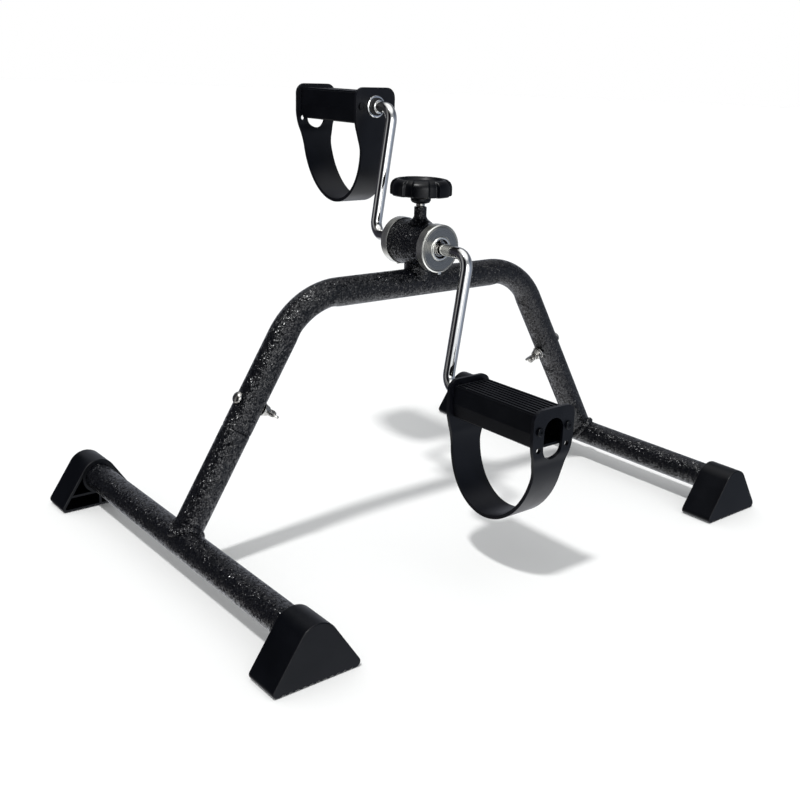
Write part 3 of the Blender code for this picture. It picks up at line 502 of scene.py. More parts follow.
def row_tree():
    """A piece repeated in a straight row across Y, centred on the axis."""
    tree, given = new_tree("even_row", [("Piece", "object"), ("Count", "count"), ("Pitch", "size")])
    last = math_of(tree, "SUBTRACT", given["Count"], 1.0)
    start = math_of(tree, "MULTIPLY", math_of(tree, "MULTIPLY", last, given["Pitch"]), -0.5)
    begin = wire(tree, "ShaderNodeCombineXYZ", {"Y": start}).outputs[0]
    step = wire(tree, "ShaderNodeCombineXYZ", {"Y": given["Pitch"]}).outputs[0]
    line = wire(tree, "GeometryNodeMeshLine",
                {"Count": given["Count"], "Start Location": begin, "Offset": step},
                mode="OFFSET").outputs["Mesh"]
    piece = wire(tree, "GeometryNodeObjectInfo", {"Object": given["Piece"]}).outputs["Geometry"]
    row = wire(tree, "GeometryNodeInstanceOnPoints", {"Points": line, "Instance": piece}).outputs["Instances"]
    return close_tree(tree, row, given["Material"])


TREE_MAKERS = {"bent_tube": bent_tube_tree, "weld_bead": weld_bead_tree, "screw_thread": thread_tree,
               "even_row": row_tree}


def grown(tree_name, name, source=None, **values):
    """The plain mesh object that a geometry tree makes from the source and the values."""
    tree = bpy.data.node_groups.get(tree_name) or TREE_MAKERS[tree_name]()
    maker = source or new_object(name, bpy.data.meshes.new(name))
    modifier = maker.modifiers.new(tree_name, "NODES")
    modifier.node_group = tree
    for item in tree.interface.items_tree:
        label = item.name.replace(" ", "_")
        if item.in_out == "INPUT" and label in values:
            modifier[item.identifier] = values[label]
    return settled(maker, name)


# Shapes


def new_object(name, mesh):
    made = bpy.data.objects.new(name, mesh)
    bpy.context.scene.collection.objects.link(made)
    return made


def from_bmesh(bm, name, matrix=Matrix()):
    mesh = bpy.data.meshes.new(name)
    bm.to_mesh(mesh)
    bm.free()
    mesh.transform(matrix)
    return new_object(name, mesh)


def settled(obj, name=None):
    """The object as its modifiers make it, as a new plain mesh. The old object is removed."""
    bpy.context.view_layer.update()
    graph = bpy.context.evaluated_depsgraph_get()
    mesh = bpy.data.meshes.new_from_object(obj.evaluated_get(graph), depsgraph=graph)
    name = name or obj.name
    bpy.data.objects.remove(obj, do_unlink=True)
    bm = bmesh.new()
    bm.from_mesh(mesh)
    bmesh.ops.remove_doubles(bm, verts=bm.verts, dist=0.000002)
    bm.to_mesh(mesh)
    bm.free()
    made = new_object(name, mesh)
    made.name = name
    return made


def path_of(points, closed=False):
    """A bare line of edges through the points, for a geometry tree to follow."""
    mesh = bpy.data.meshes.new("path")
    edges = [(i, i + 1) for i in range(len(points) - 1)]
    if closed:
        edges.append((len(points) - 1, 0))
    mesh.from_pydata([tuple(point) for point in points], edges, [])
    return new_object("path", mesh)


def rounded(points, radius, closed=True, steps=4):
    """The outline with its corners rounded. An open one keeps its two ends."""
    made = []
    count = len(points)
    for i, point in enumerate(points):
        here = Vector(point)
        before, after = Vector(points[i - 1]) - here, Vector(points[(i + 1) % count]) - here
        at_end = not closed and i in (0, count - 1)
        if at_end or before.length < 1e-7 or after.length < 1e-7 or before.angle(after) > math.radians(155):
            made.append(tuple(here))
            continue
        reach = min(radius / math.tan(before.angle(after) / 2), 0.45 * before.length, 0.45 * after.length)
        start, end = here + before.normalized() * reach, here + after.normalized() * reach
        for step in range(steps + 1):
            t = step / steps
            made.append(tuple(start * (1 - t) ** 2 + here * 2 * t * (1 - t) + end * t * t))
    return made


def arc(centre, radius, start, end, steps):
    """Points round a centre from one angle to the other, in degrees."""
    angles = [math.radians(start + (end - start) * i / steps) for i in range(steps + 1)]
    return [(centre[0] + radius * math.cos(a), centre[1] + radius * math.sin(a)) for a in angles]


def turned(name, profile, matrix=Matrix(), soft=0.0003, steps=96):
    """A shape turned about the matrix's Z from (radius, height) points with softened corners. The profile is
    closed on itself, unless it starts and ends on the axis."""
    solid = profile[0][0] == 0
    points = rounded(profile, soft, closed=not solid, steps=3) if soft else profile
    bm = bmesh.new()
    ring = [bm.verts.new((radius, 0, height)) for radius, height in points]
    edges = [bm.edges.new(pair) for pair in zip(ring, ring[1:])]
    if not solid:
        edges.append(bm.edges.new((ring[-1], ring[0])))
    bmesh.ops.spin(bm, geom=ring + edges, cent=(0, 0, 0), axis=(0, 0, 1), angle=2 * math.pi, steps=steps)
    bmesh.ops.remove_doubles(bm, verts=bm.verts, dist=0.000001)
    bmesh.ops.recalc_face_normals(bm, faces=bm.faces)
    return from_bmesh(bm, name, matrix)


def prism(name, outline, low, high, matrix=Matrix(), rim=0.0):
    """A flat outline given thickness along the matrix's Z, with its two rims rounded."""
    bm = bmesh.new()
    floor = [bm.verts.new((x, y, low)) for x, y in outline]
    roof = [bm.verts.new((x, y, high)) for x, y in outline]
    bm.faces.new(floor)
    bm.faces.new(roof)
    for i in range(len(outline)):
        bm.faces.new((floor[i - 1], floor[i], roof[i], roof[i - 1]))
    bmesh.ops.recalc_face_normals(bm, faces=bm.faces)
    if rim:
        rims = [edge for edge in bm.edges if abs(edge.verts[0].co.z - edge.verts[1].co.z) < 1e-7]
        bmesh.ops.bevel(bm, geom=rims, offset=rim, segments=3, profile=0.5, affect="EDGES",
                        clamp_overlap=True)
    return from_bmesh(bm, name, matrix)


def block(name, low, high, matrix=Matrix(), rim=0.0):
    """A box with rounded edges."""
    bm = bmesh.new()
    size, middle = Vector(high) - Vector(low), (Vector(high) + Vector(low)) / 2
    bmesh.ops.create_cube(bm, size=1.0, matrix=Matrix.Translation(middle) @ Matrix.Diagonal((*size, 1)))
    if rim:
        bmesh.ops.bevel(bm, geom=list(bm.edges), offset=rim, segments=3, profile=0.5, affect="EDGES")
    return from_bmesh(bm, name, matrix)


def rod(name, radius, low, high, matrix=Matrix(), steps=64):
    return turned(name, [(0, high), (radius, high), (radius, low), (0, low)], matrix, soft=0, steps=steps)


def combined(obj, operation, *others):
    """The object joined to, cut by or cut to the others, which are used up."""
    for other in others:
        boolean = obj.modifiers.new(operation.lower(), "BOOLEAN")
        boolean.operation = operation
        boolean.solver = "EXACT"
        boolean.object = other
    name = obj.name
    made = settled(obj, name)
    for other in others:
        bpy.data.objects.remove(other, do_unlink=True)
    return made


def softened(obj, width, angle=50.0, segments=2):
    """The object with its sharp edges rounded."""
    bevel = obj.modifiers.new("soft_edges", "BEVEL")
    bevel.width = width
    bevel.segments = segments
    bevel.limit_method = "ANGLE"
    bevel.angle_limit = math.radians(angle)
    bevel.use_clamp_overlap = True
    return settled(obj, obj.name)


def merged(name, objects):
    """Several shells as one object."""
    bm = bmesh.new()
    for obj in objects:
        obj.data.transform(obj.matrix_world)
        bm.from_mesh(obj.data)
        bpy.data.objects.remove(obj, do_unlink=True)
    return from_bmesh(bm, name)


def placed_copy(obj, name, matrix):
    made = new_object(name, obj.data.copy())
    made.data.transform(matrix)
    made.name = name
    return made


def used_up(obj):
    bpy.data.objects.remove(obj, do_unlink=True)


def dressed(obj, finish_name, body, *nodes, sharp=38.0):
    """A finished piece: smooth between its sharp edges, in its finish, on its body, in place of its nodes."""
    mesh = obj.data
    mesh.materials.clear()
    mesh.materials.append(finish(finish_name))
    mesh.shade_smooth()
    mesh.set_sharp_from_angle(angle=math.radians(sharp))
    even = obj.modifiers.new("even_normals", "WEIGHTED_NORMAL")
    even.keep_sharp = True
    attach(obj, body)
    if nodes:
        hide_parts(*nodes)
    return obj


# Places


def leg_matrix(side):
    """Z runs up the leg from the bar's axis, and Y points inwards and down."""
    return side @ Matrix.Translation((0, -BAR_Y, BAR_Z)) @ Matrix.Rotation(-LEG_LEAN, 4, "X")


def bar_matrix(side):
    return side @ Matrix.Translation((0, -BAR_Y, BAR_Z)) @ TO_X


def bolt_matrix(side):
    """On the leg's axis at the bolt, with Z pointing inwards along the bolt."""
    return leg_matrix(side) @ Matrix.Translation((0, 0, BOLT_AT)) @ Matrix.Rotation(-math.pi / 2, 4, "X")


def hub_end(end):
    return end @ Matrix.Translation((0, 0, HUB_Z)) @ TO_X


def spindle_matrix(end):
    """On a pedal's axis at its middle, with +X outwards."""
    place = NEAR_SPINDLE - Vector((0, 0, HUB_Z))
    if end == "far":
        place = -place
    return Matrix.Translation(place + Vector((0, 0, HUB_Z))) @ ENDS[end]


# Frame tubes


def arch_corners(start):
    """The arch's centreline with sharp corners: up the left leg from that distance, over, and down."""
    leg_end = leg_matrix(Matrix()) @ Vector((0, 0, start))
    corner_y = BAR_Y - (ARCH_TOP_Z - BAR_Z) * math.tan(LEG_LEAN)
    return [(0, leg_end.y, leg_end.z), (0, -corner_y, ARCH_TOP_Z), (0, corner_y, ARCH_TOP_Z),
            (0, -leg_end.y, leg_end.z)]


def flatten_bends(obj, sizes):
    """The inside of each bend is pressed flat a little, as a bending former leaves it."""
    corner_y = BAR_Y - (ARCH_TOP_Z - BAR_Z) * math.tan(LEG_LEAN)
    turn = math.pi / 2 - LEG_LEAN
    centre_y = corner_y - sizes.arch_bend * math.tan(turn / 2)
    centre_z = ARCH_TOP_Z - sizes.arch_bend
    for vertex in obj.data.vertices:
        side = 1 if vertex.co.y > 0 else -1
        out, up = vertex.co.y * side - centre_y, vertex.co.z - centre_z
        share = math.atan2(out, up) / turn
        inside = sizes.arch_bend - math.hypot(out, up)
        if 0 < share < 1 and inside > 0:
            ease = min(1.0, 5 * share, 5 * (1 - share))
            ease = ease * ease * (3 - 2 * ease)
            reach = 1 + inside * sizes.bend_flat * ease / math.hypot(out, up)
            vertex.co.y, vertex.co.z = side * (centre_y + out * reach), centre_z + up * reach
    return obj


def make_arch(sizes):
    paint = finish("hammered_black_paint")
    wall = dict(Bend=sizes.arch_bend, Bend_steps=40, Sides=64, Material=paint)
    arch = grown("bent_tube", "arch", path_of(arch_corners(sizes.seam_at + GAP)), Radius=TUBE_R, **wall)
    hollow = grown("bent_tube", "arch_hollow", path_of(arch_corners(sizes.seam_at - 0.002)),
                   Radius=TUBE_R - sizes.tube_wall, **wall)
    holes = [rod(f"{name}_arch_hole", BOLT_HOLE_R, -THROUGH / 2, THROUGH / 2, bolt_matrix(side), 32)
             for name, side in SIDES.items()]
    arch = combined(arch, "DIFFERENCE", hollow, *holes)
    arch = softened(arch, 0.0004, 60.0)
    return dressed(flatten_bends(arch, sizes), "hammered_black_paint", "frame", "arch_tube")


def make_upright(name, side, sizes):
    """The lower leg: coped onto the bar, and necked down at its top to slide into the arch."""
    seam, inner = sizes.seam_at, TUBE_R - sizes.tube_wall
    neck = inner - GAP
    neck_inner, neck_top, shoulder = neck - sizes.tube_wall, seam + sizes.neck_length, seam - 0.0012
    profile = [(neck, neck_top), (neck, seam), (TUBE_R - 0.0006, seam), (TUBE_R, shoulder), (TUBE_R, 0),
               (inner, 0), (inner, shoulder - 0.003), (neck_inner, seam), (neck_inner, neck_top)]
    upright = turned(f"{name}_lower_leg", profile, leg_matrix(side), 0.0003, 64)
    bar = rod("bar_way", TUBE_R + GAP, -THROUGH, THROUGH, bar_matrix(side), 96)
    hole = rod("neck_hole", BOLT_HOLE_R, -THROUGH / 2, THROUGH / 2, bolt_matrix(side), 32)
    dressed(combined(upright, "DIFFERENCE", bar, hole), "hammered_black_paint", "frame", f"{name}_upright")


def make_leg_weld(name, side, sizes):
    """The bead round the foot of a leg, where two tubes of one size meet."""
    loop = []
    for i in range(96):
        angle = 2 * math.pi * i / 96
        across, along = TUBE_R * math.cos(angle), TUBE_R * math.sin(angle)
        loop.append((across, along, math.hypot(across, sizes.weld_radius)))
    bead = grown("weld_bead", f"{name}_weld", path_of(loop, closed=True), Radius=sizes.weld_radius,
                 Ripple=sizes.weld_ripple, Ripples=34, Steps=6, Material=finish("hammered_black_paint"))
    bead.data.transform(leg_matrix(side))
    dressed(bead, "hammered_black_paint", "frame", f"{name}_leg_weld")


def make_floor_bar(name, side, sizes):
    inner = TUBE_R - sizes.tube_wall
    profile = [(TUBE_R, BAR_HALF), (TUBE_R, -BAR_HALF), (inner, -BAR_HALF), (inner, BAR_HALF)]
    bar = turned(f"{name}_bar", profile, bar_matrix(side), 0.0004, 64)
    dressed(bar, "hammered_black_paint", "frame", f"{name}_floor_bar")


# Feet


def foot_outline(sizes, inset):
    """The wedge in section, as (y, z): a round crown over the bar, straight flanks and small base corners."""
    crown, corner = sizes.crown - inset, sizes.corner - inset
    corner_y, down = sizes.half_width - sizes.corner, BAR_Z - sizes.corner
    reach = math.hypot(corner_y, down)
    flank = math.degrees(math.atan2(-down, corner_y) + math.acos((crown - corner) / reach))
    right = arc((corner_y, sizes.corner), corner, -90, flank, 10) + arc((0, BAR_Z), crown, flank, 90, 18)
    return right + [(-y, z) for y, z in reversed(right[:-1])]


def make_feet(sizes):
    """One moulded wedge, closed at its outer end and open inwards, set on all four ends of the bars."""
    outer_x = FOOT_HIGH.x
    inner_x = outer_x - sizes.depth
    deep = (inner_x - 0.004, outer_x)
    foot = prism("foot", foot_outline(sizes, 0.0), inner_x, outer_x, SECTION, rim=0.0009)
    pocket = prism("foot_pocket", foot_outline(sizes, sizes.wall), inner_x - 0.002, outer_x - sizes.wall,
                   SECTION)
    along = Matrix.Translation((0, 0, BAR_Z)) @ TO_X
    web = 0.0010
    level_z = 0.0142
    pocket = combined(pocket, "DIFFERENCE",
                      rod("foot_socket", TUBE_R + GAP + 0.0024, *deep, along),
                      block("upright_web", (deep[0], -web, 0), (deep[1], web, BAR_Z)),
                      block("level_web", (deep[0], -THROUGH, level_z - web),
                            (deep[1], THROUGH, level_z + web)))
    groove = rod("groove", sizes.groove, inner_x - 0.001, outer_x + 0.001, TO_X, 12)
    grooves = grown("even_row", "grooves", Piece=groove, Count=sizes.grooves, Pitch=sizes.pitch,
                    Material=finish("black_plastic"))
    used_up(groove)
    foot = combined(foot, "DIFFERENCE", pocket,
                    rod("foot_bore", TUBE_R + GAP, inner_x - 0.006, BAR_HALF + 0.0004, along),
                    grooves)
    for side in SIDES:
        side_y = -BAR_Y if side == "left" else BAR_Y
        for end, turn in ENDS.items():
            piece = placed_copy(foot, f"{side}_{end}_wedge", Matrix.Translation((0, side_y, 0)) @ turn)
            dressed(piece, "black_plastic", "frame", f"{side}_{end}_foot")
    used_up(foot)


# Hub


def make_hub_shell(sizes):
    """The stub on the arch, the hub's tube, and the boss on top of it, flared where it meets the tube."""
    along = Matrix.Translation((0, 0, HUB_Z)) @ TO_X
    stem_top, stem_foot = HUB_Z - 0.006, ARCH_TOP_Z + 0.001
    stem = turned("hub_stub", [(0, stem_top), (sizes.stem, stem_top), (sizes.stem, stem_foot),
                               (0, stem_foot)], soft=0)
    arch_way = Matrix.Translation((0, 0, ARCH_TOP_Z)) @ Matrix.Rotation(math.pi / 2, 4, "X")
    stem = combined(stem, "DIFFERENCE", rod("hub_way", HUB_R + GAP, -THROUGH, THROUGH, along, 128),
                    rod("arch_way", TUBE_R + GAP, -THROUGH, THROUGH, arch_way, 96))
    dressed(stem, "hammered_black_paint", "frame", "hub_stem")

    housing = turned("hub_tube", [(HUB_R, HUB_HALF), (HUB_R, -HUB_HALF), (sizes.bore, -HUB_HALF),
                                  (sizes.bore, HUB_HALF)], along, 0.0004, 128)
    hole = rod("plug_way", SCREW_HOLE_R, HUB_Z, HUB_Z + 0.03, steps=48)
    dressed(combined(housing, "DIFFERENCE", hole), "hammered_black_paint", "frame", "hub_housing")

    base, skirt = HUB_Z + HUB_R - 0.003, 0.0050
    flare = [(sizes.boss + skirt * (1 - t) ** 2.2, base + 0.0022 + 0.0062 * t)
             for t in [i / 8 for i in range(8, -1, -1)]]
    boss = turned("screw_boss", [(SCREW_HOLE_R, BOSS_TOP_Z), (sizes.boss, BOSS_TOP_Z)] + flare
                  + [(sizes.boss + skirt, base), (SCREW_HOLE_R, base)], soft=0.0005, steps=64)
    dressed(combined(boss, "DIFFERENCE", rod("hub_seat", HUB_R + GAP, -THROUGH, THROUGH, along, 128)),
            "hammered_black_paint", "frame", "knob_boss")


def make_hub_cap(name, end, sizes):
    """A pressed steel cap: a skirt, a face with a scribed line near its rim, a raised lip and a key."""
    face, radius = sizes.cap_to, sizes.cap_radius
    skirt, back, lip = HUB_R + GAP, face - 0.0022, face + 0.0006
    line = radius - 0.0020
    profile = [(sizes.cap_bore, lip), (sizes.lip - 0.0004, lip), (sizes.lip, face - 0.0002),
               (sizes.lip + 0.0005, face - 0.0005), (sizes.lip + 0.0009, face), (line - 0.0004, face),
               (line, face - 0.0005), (line + 0.0004, face), (radius - 0.0010, face),
               (radius, face - 0.0010), (radius, sizes.cap_from), (skirt, sizes.cap_from), (skirt, back),
               (sizes.cap_bore, back)]
    cap = turned(f"{name}_cap", profile, hub_end(end), 0.00025, 128)
    key = block("key", (radius - 0.0012, -0.0017, back + 0.0002), (radius + 0.0014, 0.0017, face - 0.0004),
                hub_end(end), 0.0003)
    dressed(combined(cap, "UNION", key), "cap_steel", "frame", f"{name}_hub_cap", sharp=30.0)


def make_hub_bush(name, end, sizes, rod_radius):
    outer, bore, face = sizes.bore - GAP, rod_radius + GAP, HUB_HALF - GAP
    back = 0.0105
    profile = [(bore, face), (outer, face), (outer, back), (bore, back)]
    dressed(turned(f"{name}_bush", profile, hub_end(end), 0.0006), "nylon_black", "frame", f"{name}_hub_bush")


def make_retaining_ring(name, end, rod_radius):
    """An open spring ring round the crank, with two pierced ears."""
    outer, inner, ear_at, ear_r = 0.0067, rod_radius + GAP, 0.0064, 0.0014
    low, high = 0.0272, 0.0284
    here = hub_end(end) @ Matrix.Rotation(math.radians(200), 4, "Z")
    ring = prism(f"{name}_spring_ring", arc((0, 0), outer, 20, 340, 48) + arc((0, 0), inner, 340, 20, 48),
                 low, high, here, 0.00018)
    ears = [here @ Matrix.Rotation(math.radians(31 * way), 4, "Z") @ Matrix.Translation((ear_at, 0, 0))
            for way in (-1, 1)]
    ring = combined(ring, "UNION",
                    *[turned(f"ear_{i}", [(0, high), (ear_r, high), (ear_r, low), (0, low)], ear, 0.00018, 24)
                      for i, ear in enumerate(ears)])
    ring = combined(ring, "DIFFERENCE", rod("ring_seat", inner, low - 0.001, high + 0.001, here, 64),
                    *[rod(f"ear_hole_{i}", ear_r / 2, low - 0.001, high + 0.001, ear, 20)
                      for i, ear in enumerate(ears)])
    dressed(ring, "zinc_plated_steel", "crank", f"{name}_retaining_ring")


# Brake


def thread(name, radius, pitch, low, high, ridge):
    """A helical ridge from one height to the other, on a core of the radius less the ridge."""
    turns = int((high - low) / pitch)
    made = grown("screw_thread", name, Radius=radius - ridge, Pitch=pitch, Turns=turns, Ridge=ridge, Steps=28,
                 Material=finish("zinc_plated_steel"))
    made.data.transform(Matrix.Translation((0, 0, low)))
    return made


def make_brake_screw(sizes, rod_radius):
    top, tip, radius, ridge = SCREW_HIGH.z, SCREW_LOW.z, sizes.screw, 0.0005
    core = turned("core", [(0, top), (radius - ridge, top), (radius - ridge, tip), (0, tip)], soft=0.0004,
                  steps=64)
    turns = thread("ridge", radius, sizes.screw_pitch, tip + 0.0008, top - 0.0008, ridge)
    dressed(merged("threaded_screw", [core, turns]), "zinc_plated_steel", "knob", "brake_screw")

    along = Matrix.Translation((0, 0, HUB_Z)) @ TO_X
    sleeve_r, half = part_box("brake_sleeve")[1].z - HUB_Z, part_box("brake_sleeve")[1].x
    plug = turned("friction_plug", [(0, tip - GAP), (radius, tip - GAP), (radius, HUB_Z + sleeve_r - 0.002),
                                    (0, HUB_Z + sleeve_r - 0.002)], soft=0.0003, steps=48)
    plug = combined(plug, "DIFFERENCE", rod("plug_seat", sleeve_r + 0.0006, -0.02, 0.02, along, 96))
    dressed(plug, "nylon_black", "plug", "brake_plug")
    bore = rod_radius + GAP
    sleeve = turned("crank_sleeve", [(sleeve_r, half), (sleeve_r, -half), (bore, -half), (bore, half)],
                    along, 0.0004)
    dressed(sleeve, "zinc_plated_steel", "crank", "brake_sleeve")


def make_knob(sizes):
    """A lobed grip with a dished top over a short collar. The lobes fade out towards the axis."""
    low, top = KNOB_LOW.z, KNOB_HIGH.z
    under, bore = low + 0.0068, sizes.screw + GAP
    ceiling = SCREW_HIGH.z + GAP
    radius, collar, lobes_from = sizes.knob, sizes.collar, 0.0195
    profile = [(0, ceiling), (bore, ceiling), (bore, low), (collar - 0.0035, low),
               (collar - 0.0012, low + 0.0008), (collar, low + 0.0026), (collar, under),
               (radius - 0.0010, under), (radius, under + 0.0010), (radius, top - 0.0066),
               (radius - 0.0005, top - 0.0044), (radius - 0.0017, top - 0.0022),
               (radius - 0.0038, top - 0.0006), (radius - 0.0060, top), (radius - 0.0068, top - 0.0003),
               (radius - 0.0076, top - 0.0016), (radius - 0.0086, top - 0.0028), (0.0130, top - 0.0034),
               (0, top - 0.0036)]
    knob = turned("lobed_knob", profile, soft=0.0006, steps=sizes.lobes * 36)
    for vertex in knob.data.vertices:
        distance = math.hypot(vertex.co.x, vertex.co.y)
        share = min(max((distance - lobes_from) / (radius - 0.0030 - lobes_from), 0.0), 1.0)
        angle = math.atan2(vertex.co.y, vertex.co.x)
        wave = math.cos(sizes.lobes * (angle + sizes.lobe_turn))
        hollow = sizes.scallop * eased((wave - 0.20) / 0.45) * share
        if distance > 0.0:
            vertex.co.x *= (distance - hollow) / distance
            vertex.co.y *= (distance - hollow) / distance
    dressed(knob, "black_plastic", "knob", "brake_knob", sharp=45.0)


# Crank


def make_crank(sizes):
    """The bent rod from spindle to spindle, with an upset collar behind each pedal."""
    x, far = sizes.arm_x, SPINDLE_END_X
    near = [(far, 0, -CRANK_RADIUS), (x, 0, -CRANK_RADIUS), (x, 0, 0)]
    corners = near + [(-a, 0, -c) for a, _, c in reversed(near)]
    lean = Matrix.Translation((0, 0, HUB_Z)) @ Matrix.Rotation(-CRANK_LEAN, 4, "X")
    bar = grown("bent_tube", "crank_rod", path_of(corners), Radius=sizes.rod, Bend=sizes.bend,
                Bend_steps=20, Sides=48, Material=finish("bright_chrome"))
    bar.data.transform(lean)
    dressed(softened(bar, 0.0006, 60.0, 3), "bright_chrome", "crank", "crank")
    for end in ENDS:
        at = spindle_matrix(end) @ Matrix.Translation((-HEAD_X - 0.0024 - 3 * GAP, 0, 0)) @ TO_X
        profile = [(0, 0), (sizes.shoulder, 0), (sizes.shoulder, -0.0028), (0, -0.0028)]
        dressed(turned(f"{end}_shoulder", profile, at, 0.0005, 64), "bright_chrome", "crank")


# Pedals




def body_outline(top, inset):
    """The pedal's body in section, as (y, z), widest at the crease along its side."""
    bottom, crease, flare = -0.0153, -0.0030, 0.0006
    right = [(0.0166 - inset - 0.0012, bottom + inset), (0.0166 - inset, bottom + inset + 0.0012),
             (0.0180 - inset, crease - flare), (0.0180 - inset, crease + flare),
             (0.0172 - inset, top - inset)]
    return right + [(-y, z) for y, z in reversed(right)]


def make_pedal_bodies(sizes, rod_radius):
    """The hollow moulded body, its ribbed tread, its pegs, and the bearing inside it."""
    half = HEAD_X - sizes.strap_thickness - GAP
    top = BODY_HIGH.z - NEAR_SPINDLE.z - sizes.rib_height
    tube_to = 0.0060
    back = -half + 0.0036
    body = prism("body", rounded(body_outline(top, 0.0), 0.0007, steps=3), -half, half, SECTION, rim=0.0005)
    pocket = prism("pocket", body_outline(top, sizes.body_wall), back, half + 0.002, SECTION)
    pads = [block(f"pad_{way}", (half - 0.006, min(way * 0.012, way * 0.020), -0.005),
                  (half + 0.003, max(way * 0.012, way * 0.020), 0.005)) for way in (-1, 1)]
    pocket = combined(pocket, "DIFFERENCE", rod("spindle_tube", 0.0094, back - 0.001, tube_to, TO_X),
                      block("body_web", (back - 0.001, -0.001, -0.02), (tube_to, 0.001, 0.02)), *pads)
    body = combined(body, "DIFFERENCE", pocket,
                    rod("bore", BEARING_R + GAP, -half - 0.002, tube_to + 0.002, TO_X))

    ribs_from, ribs_to = -0.0408, 0.0430
    pitch = 2 * 0.0166 / (sizes.ribs - 0.45)
    width = 0.55 * pitch
    crest = rounded([(-width / 2, top - 0.0003), (width / 2, top - 0.0003),
                     (width / 2 - 0.0004, top + sizes.rib_height),
                     (-width / 2 + 0.0004, top + sizes.rib_height)], 0.0003, steps=3)
    rib = prism("rib", crest, ribs_from, ribs_to, SECTION, rim=0.0003)
    ribs = grown("even_row", "ribs", Piece=rib, Count=sizes.ribs, Pitch=pitch,
                 Material=finish("black_plastic"))
    used_up(rib)
    bar = block("stop_bar", (ribs_from - 0.0026, -0.0168, top - 0.0003),
                (ribs_from - 0.0010, 0.0168, top + 0.0011), rim=0.0004)
    tread = merged("tread", [ribs, bar])

    peg_list = []
    for turn in (Matrix(), HALF_TURN):
        for way in (-1, 1):
            face = HEAD_X + GAP
            at = turn @ Matrix.Translation((0, way * PEG_Y, 0)) @ TO_X
            button = turned("button", [(0, face + 0.0016), (sizes.peg, face + 0.0016), (sizes.peg, face),
                                       (PEG_SHANK_R, face), (PEG_SHANK_R, half - 0.002),
                                       (0, half - 0.002)], at, 0.0006, 40)
            slots = [block("slot", (-0.0013, -0.00035, face + 0.0010), (0.0013, 0.00035, face + 0.0020),
                           at @ Matrix.Rotation(math.radians(angle), 4, "Z")) for angle in (35, 125)]
            peg_list.append(combined(button, "DIFFERENCE", *slots))
    pegs = merged("pegs", peg_list)

    bore, nose = rod_radius + GAP, -HEAD_X + 0.0002
    bearing = turned("bearing", [(BEARING_R, tube_to), (BEARING_R, nose), (bore, nose), (bore, tube_to)],
                     TO_X, 0.0003)
    face = -HEAD_X - GAP
    washer = turned("washer", [(bore, face), (0.0098, face), (0.0098, face - 0.0010), (0.0090, face - 0.0014),
                               (bore, face - 0.0014)], TO_X, 0.0003)
    face -= 0.0014 + GAP
    thrust = turned("thrust", [(bore, face), (0.0080, face), (0.0080, face - 0.0010),
                               (bore, face - 0.0010)], TO_X, 0.0003)
    nut_x = tube_to + 0.0008
    nut = turned("push_nut", [(bore, nut_x + 0.0022), (bore + 0.0012, nut_x + 0.0022),
                              (0.0085, nut_x + 0.0010), (0.0085, nut_x), (bore, nut_x)], TO_X, 0.0002)
    for end in ENDS:
        here, rides = spindle_matrix(end), f"{end}_pedal"
        dressed(placed_copy(body, f"{end}_body", here), "black_plastic", rides, f"{end}_pedal_body")
        dressed(placed_copy(tread, f"{end}_tread", here), "black_plastic", rides)
        dressed(placed_copy(pegs, f"{end}_pegs", here), "black_plastic", rides)
        dressed(placed_copy(bearing, f"{end}_bearing", here), "nylon_black", rides, f"{end}_pedal_bearing")
        dressed(placed_copy(washer, f"{end}_washer", here), "bright_chrome", rides, f"{end}_pedal_washer")
        dressed(placed_copy(thrust, f"{end}_thrust", here), "nylon_black", rides, f"{end}_thrust_ring")
        dressed(placed_copy(nut, f"{end}_spindle_nut", here), "zinc_plated_steel", "crank", f"{end}_push_nut")
    for obj in (body, tread, pegs, bearing, washer, thrust, nut):
        used_up(obj)


STRAP_LEG_Z = -0.0210
STRAP_BEND_Z = -0.0300
STRAP_BEND_HALF = 0.0484
STRAP_SKEW = -0.0071  # the soft strap's bend hangs a little towards the crank
HEAD_CORNER_R = 0.0090


def eased(value):
    value = min(max(value, 0.0), 1.0)
    return value * value * (3 - 2 * value)


def strap_line():
    """The strap's outer face seen along Y, as (x, z): down the inner head, round, and up the outer head."""
    corner_z = HEAD_TOP - HEAD_CORNER_R
    half = [(HEAD_X, corner_z + HEAD_CORNER_R * math.cos(math.radians(9 * i))) for i in range(11)]
    half += [(HEAD_X, corner_z + (STRAP_LEG_Z - corner_z) * i / 14) for i in range(1, 15)]
    half += [(HEAD_X + (STRAP_BEND_HALF - HEAD_X) * eased(i / 5),
              STRAP_LEG_Z + (STRAP_BEND_Z - STRAP_LEG_Z) * i / 5)
             for i in range(1, 6)]
    depth = STRAP_BEND_Z - STRAP_BOTTOM
    half += [(STRAP_BEND_HALF * math.cos(math.radians(2.5 * i)),
              STRAP_BEND_Z - depth * math.sin(math.radians(2.5 * i)))
             for i in range(1, 37)]
    line = [(-x, z) for x, z in half] + [(x, z) for x, z in reversed(half[:-1])]
    return [(x + STRAP_SKEW * min(max((STRAP_LEG_Z - z) / (STRAP_LEG_Z - STRAP_BOTTOM), 0.0), 1.0), z)
            for x, z in line]


def strap_half_width(z, sizes):
    over = z - (HEAD_TOP - HEAD_CORNER_R)
    if over > 0:
        return sizes.head_half - HEAD_CORNER_R + math.sqrt(max(HEAD_CORNER_R ** 2 - over ** 2, 0.0))
    return sizes.band_half + (sizes.head_half - sizes.band_half) * eased((z + 0.0420) / 0.0340)


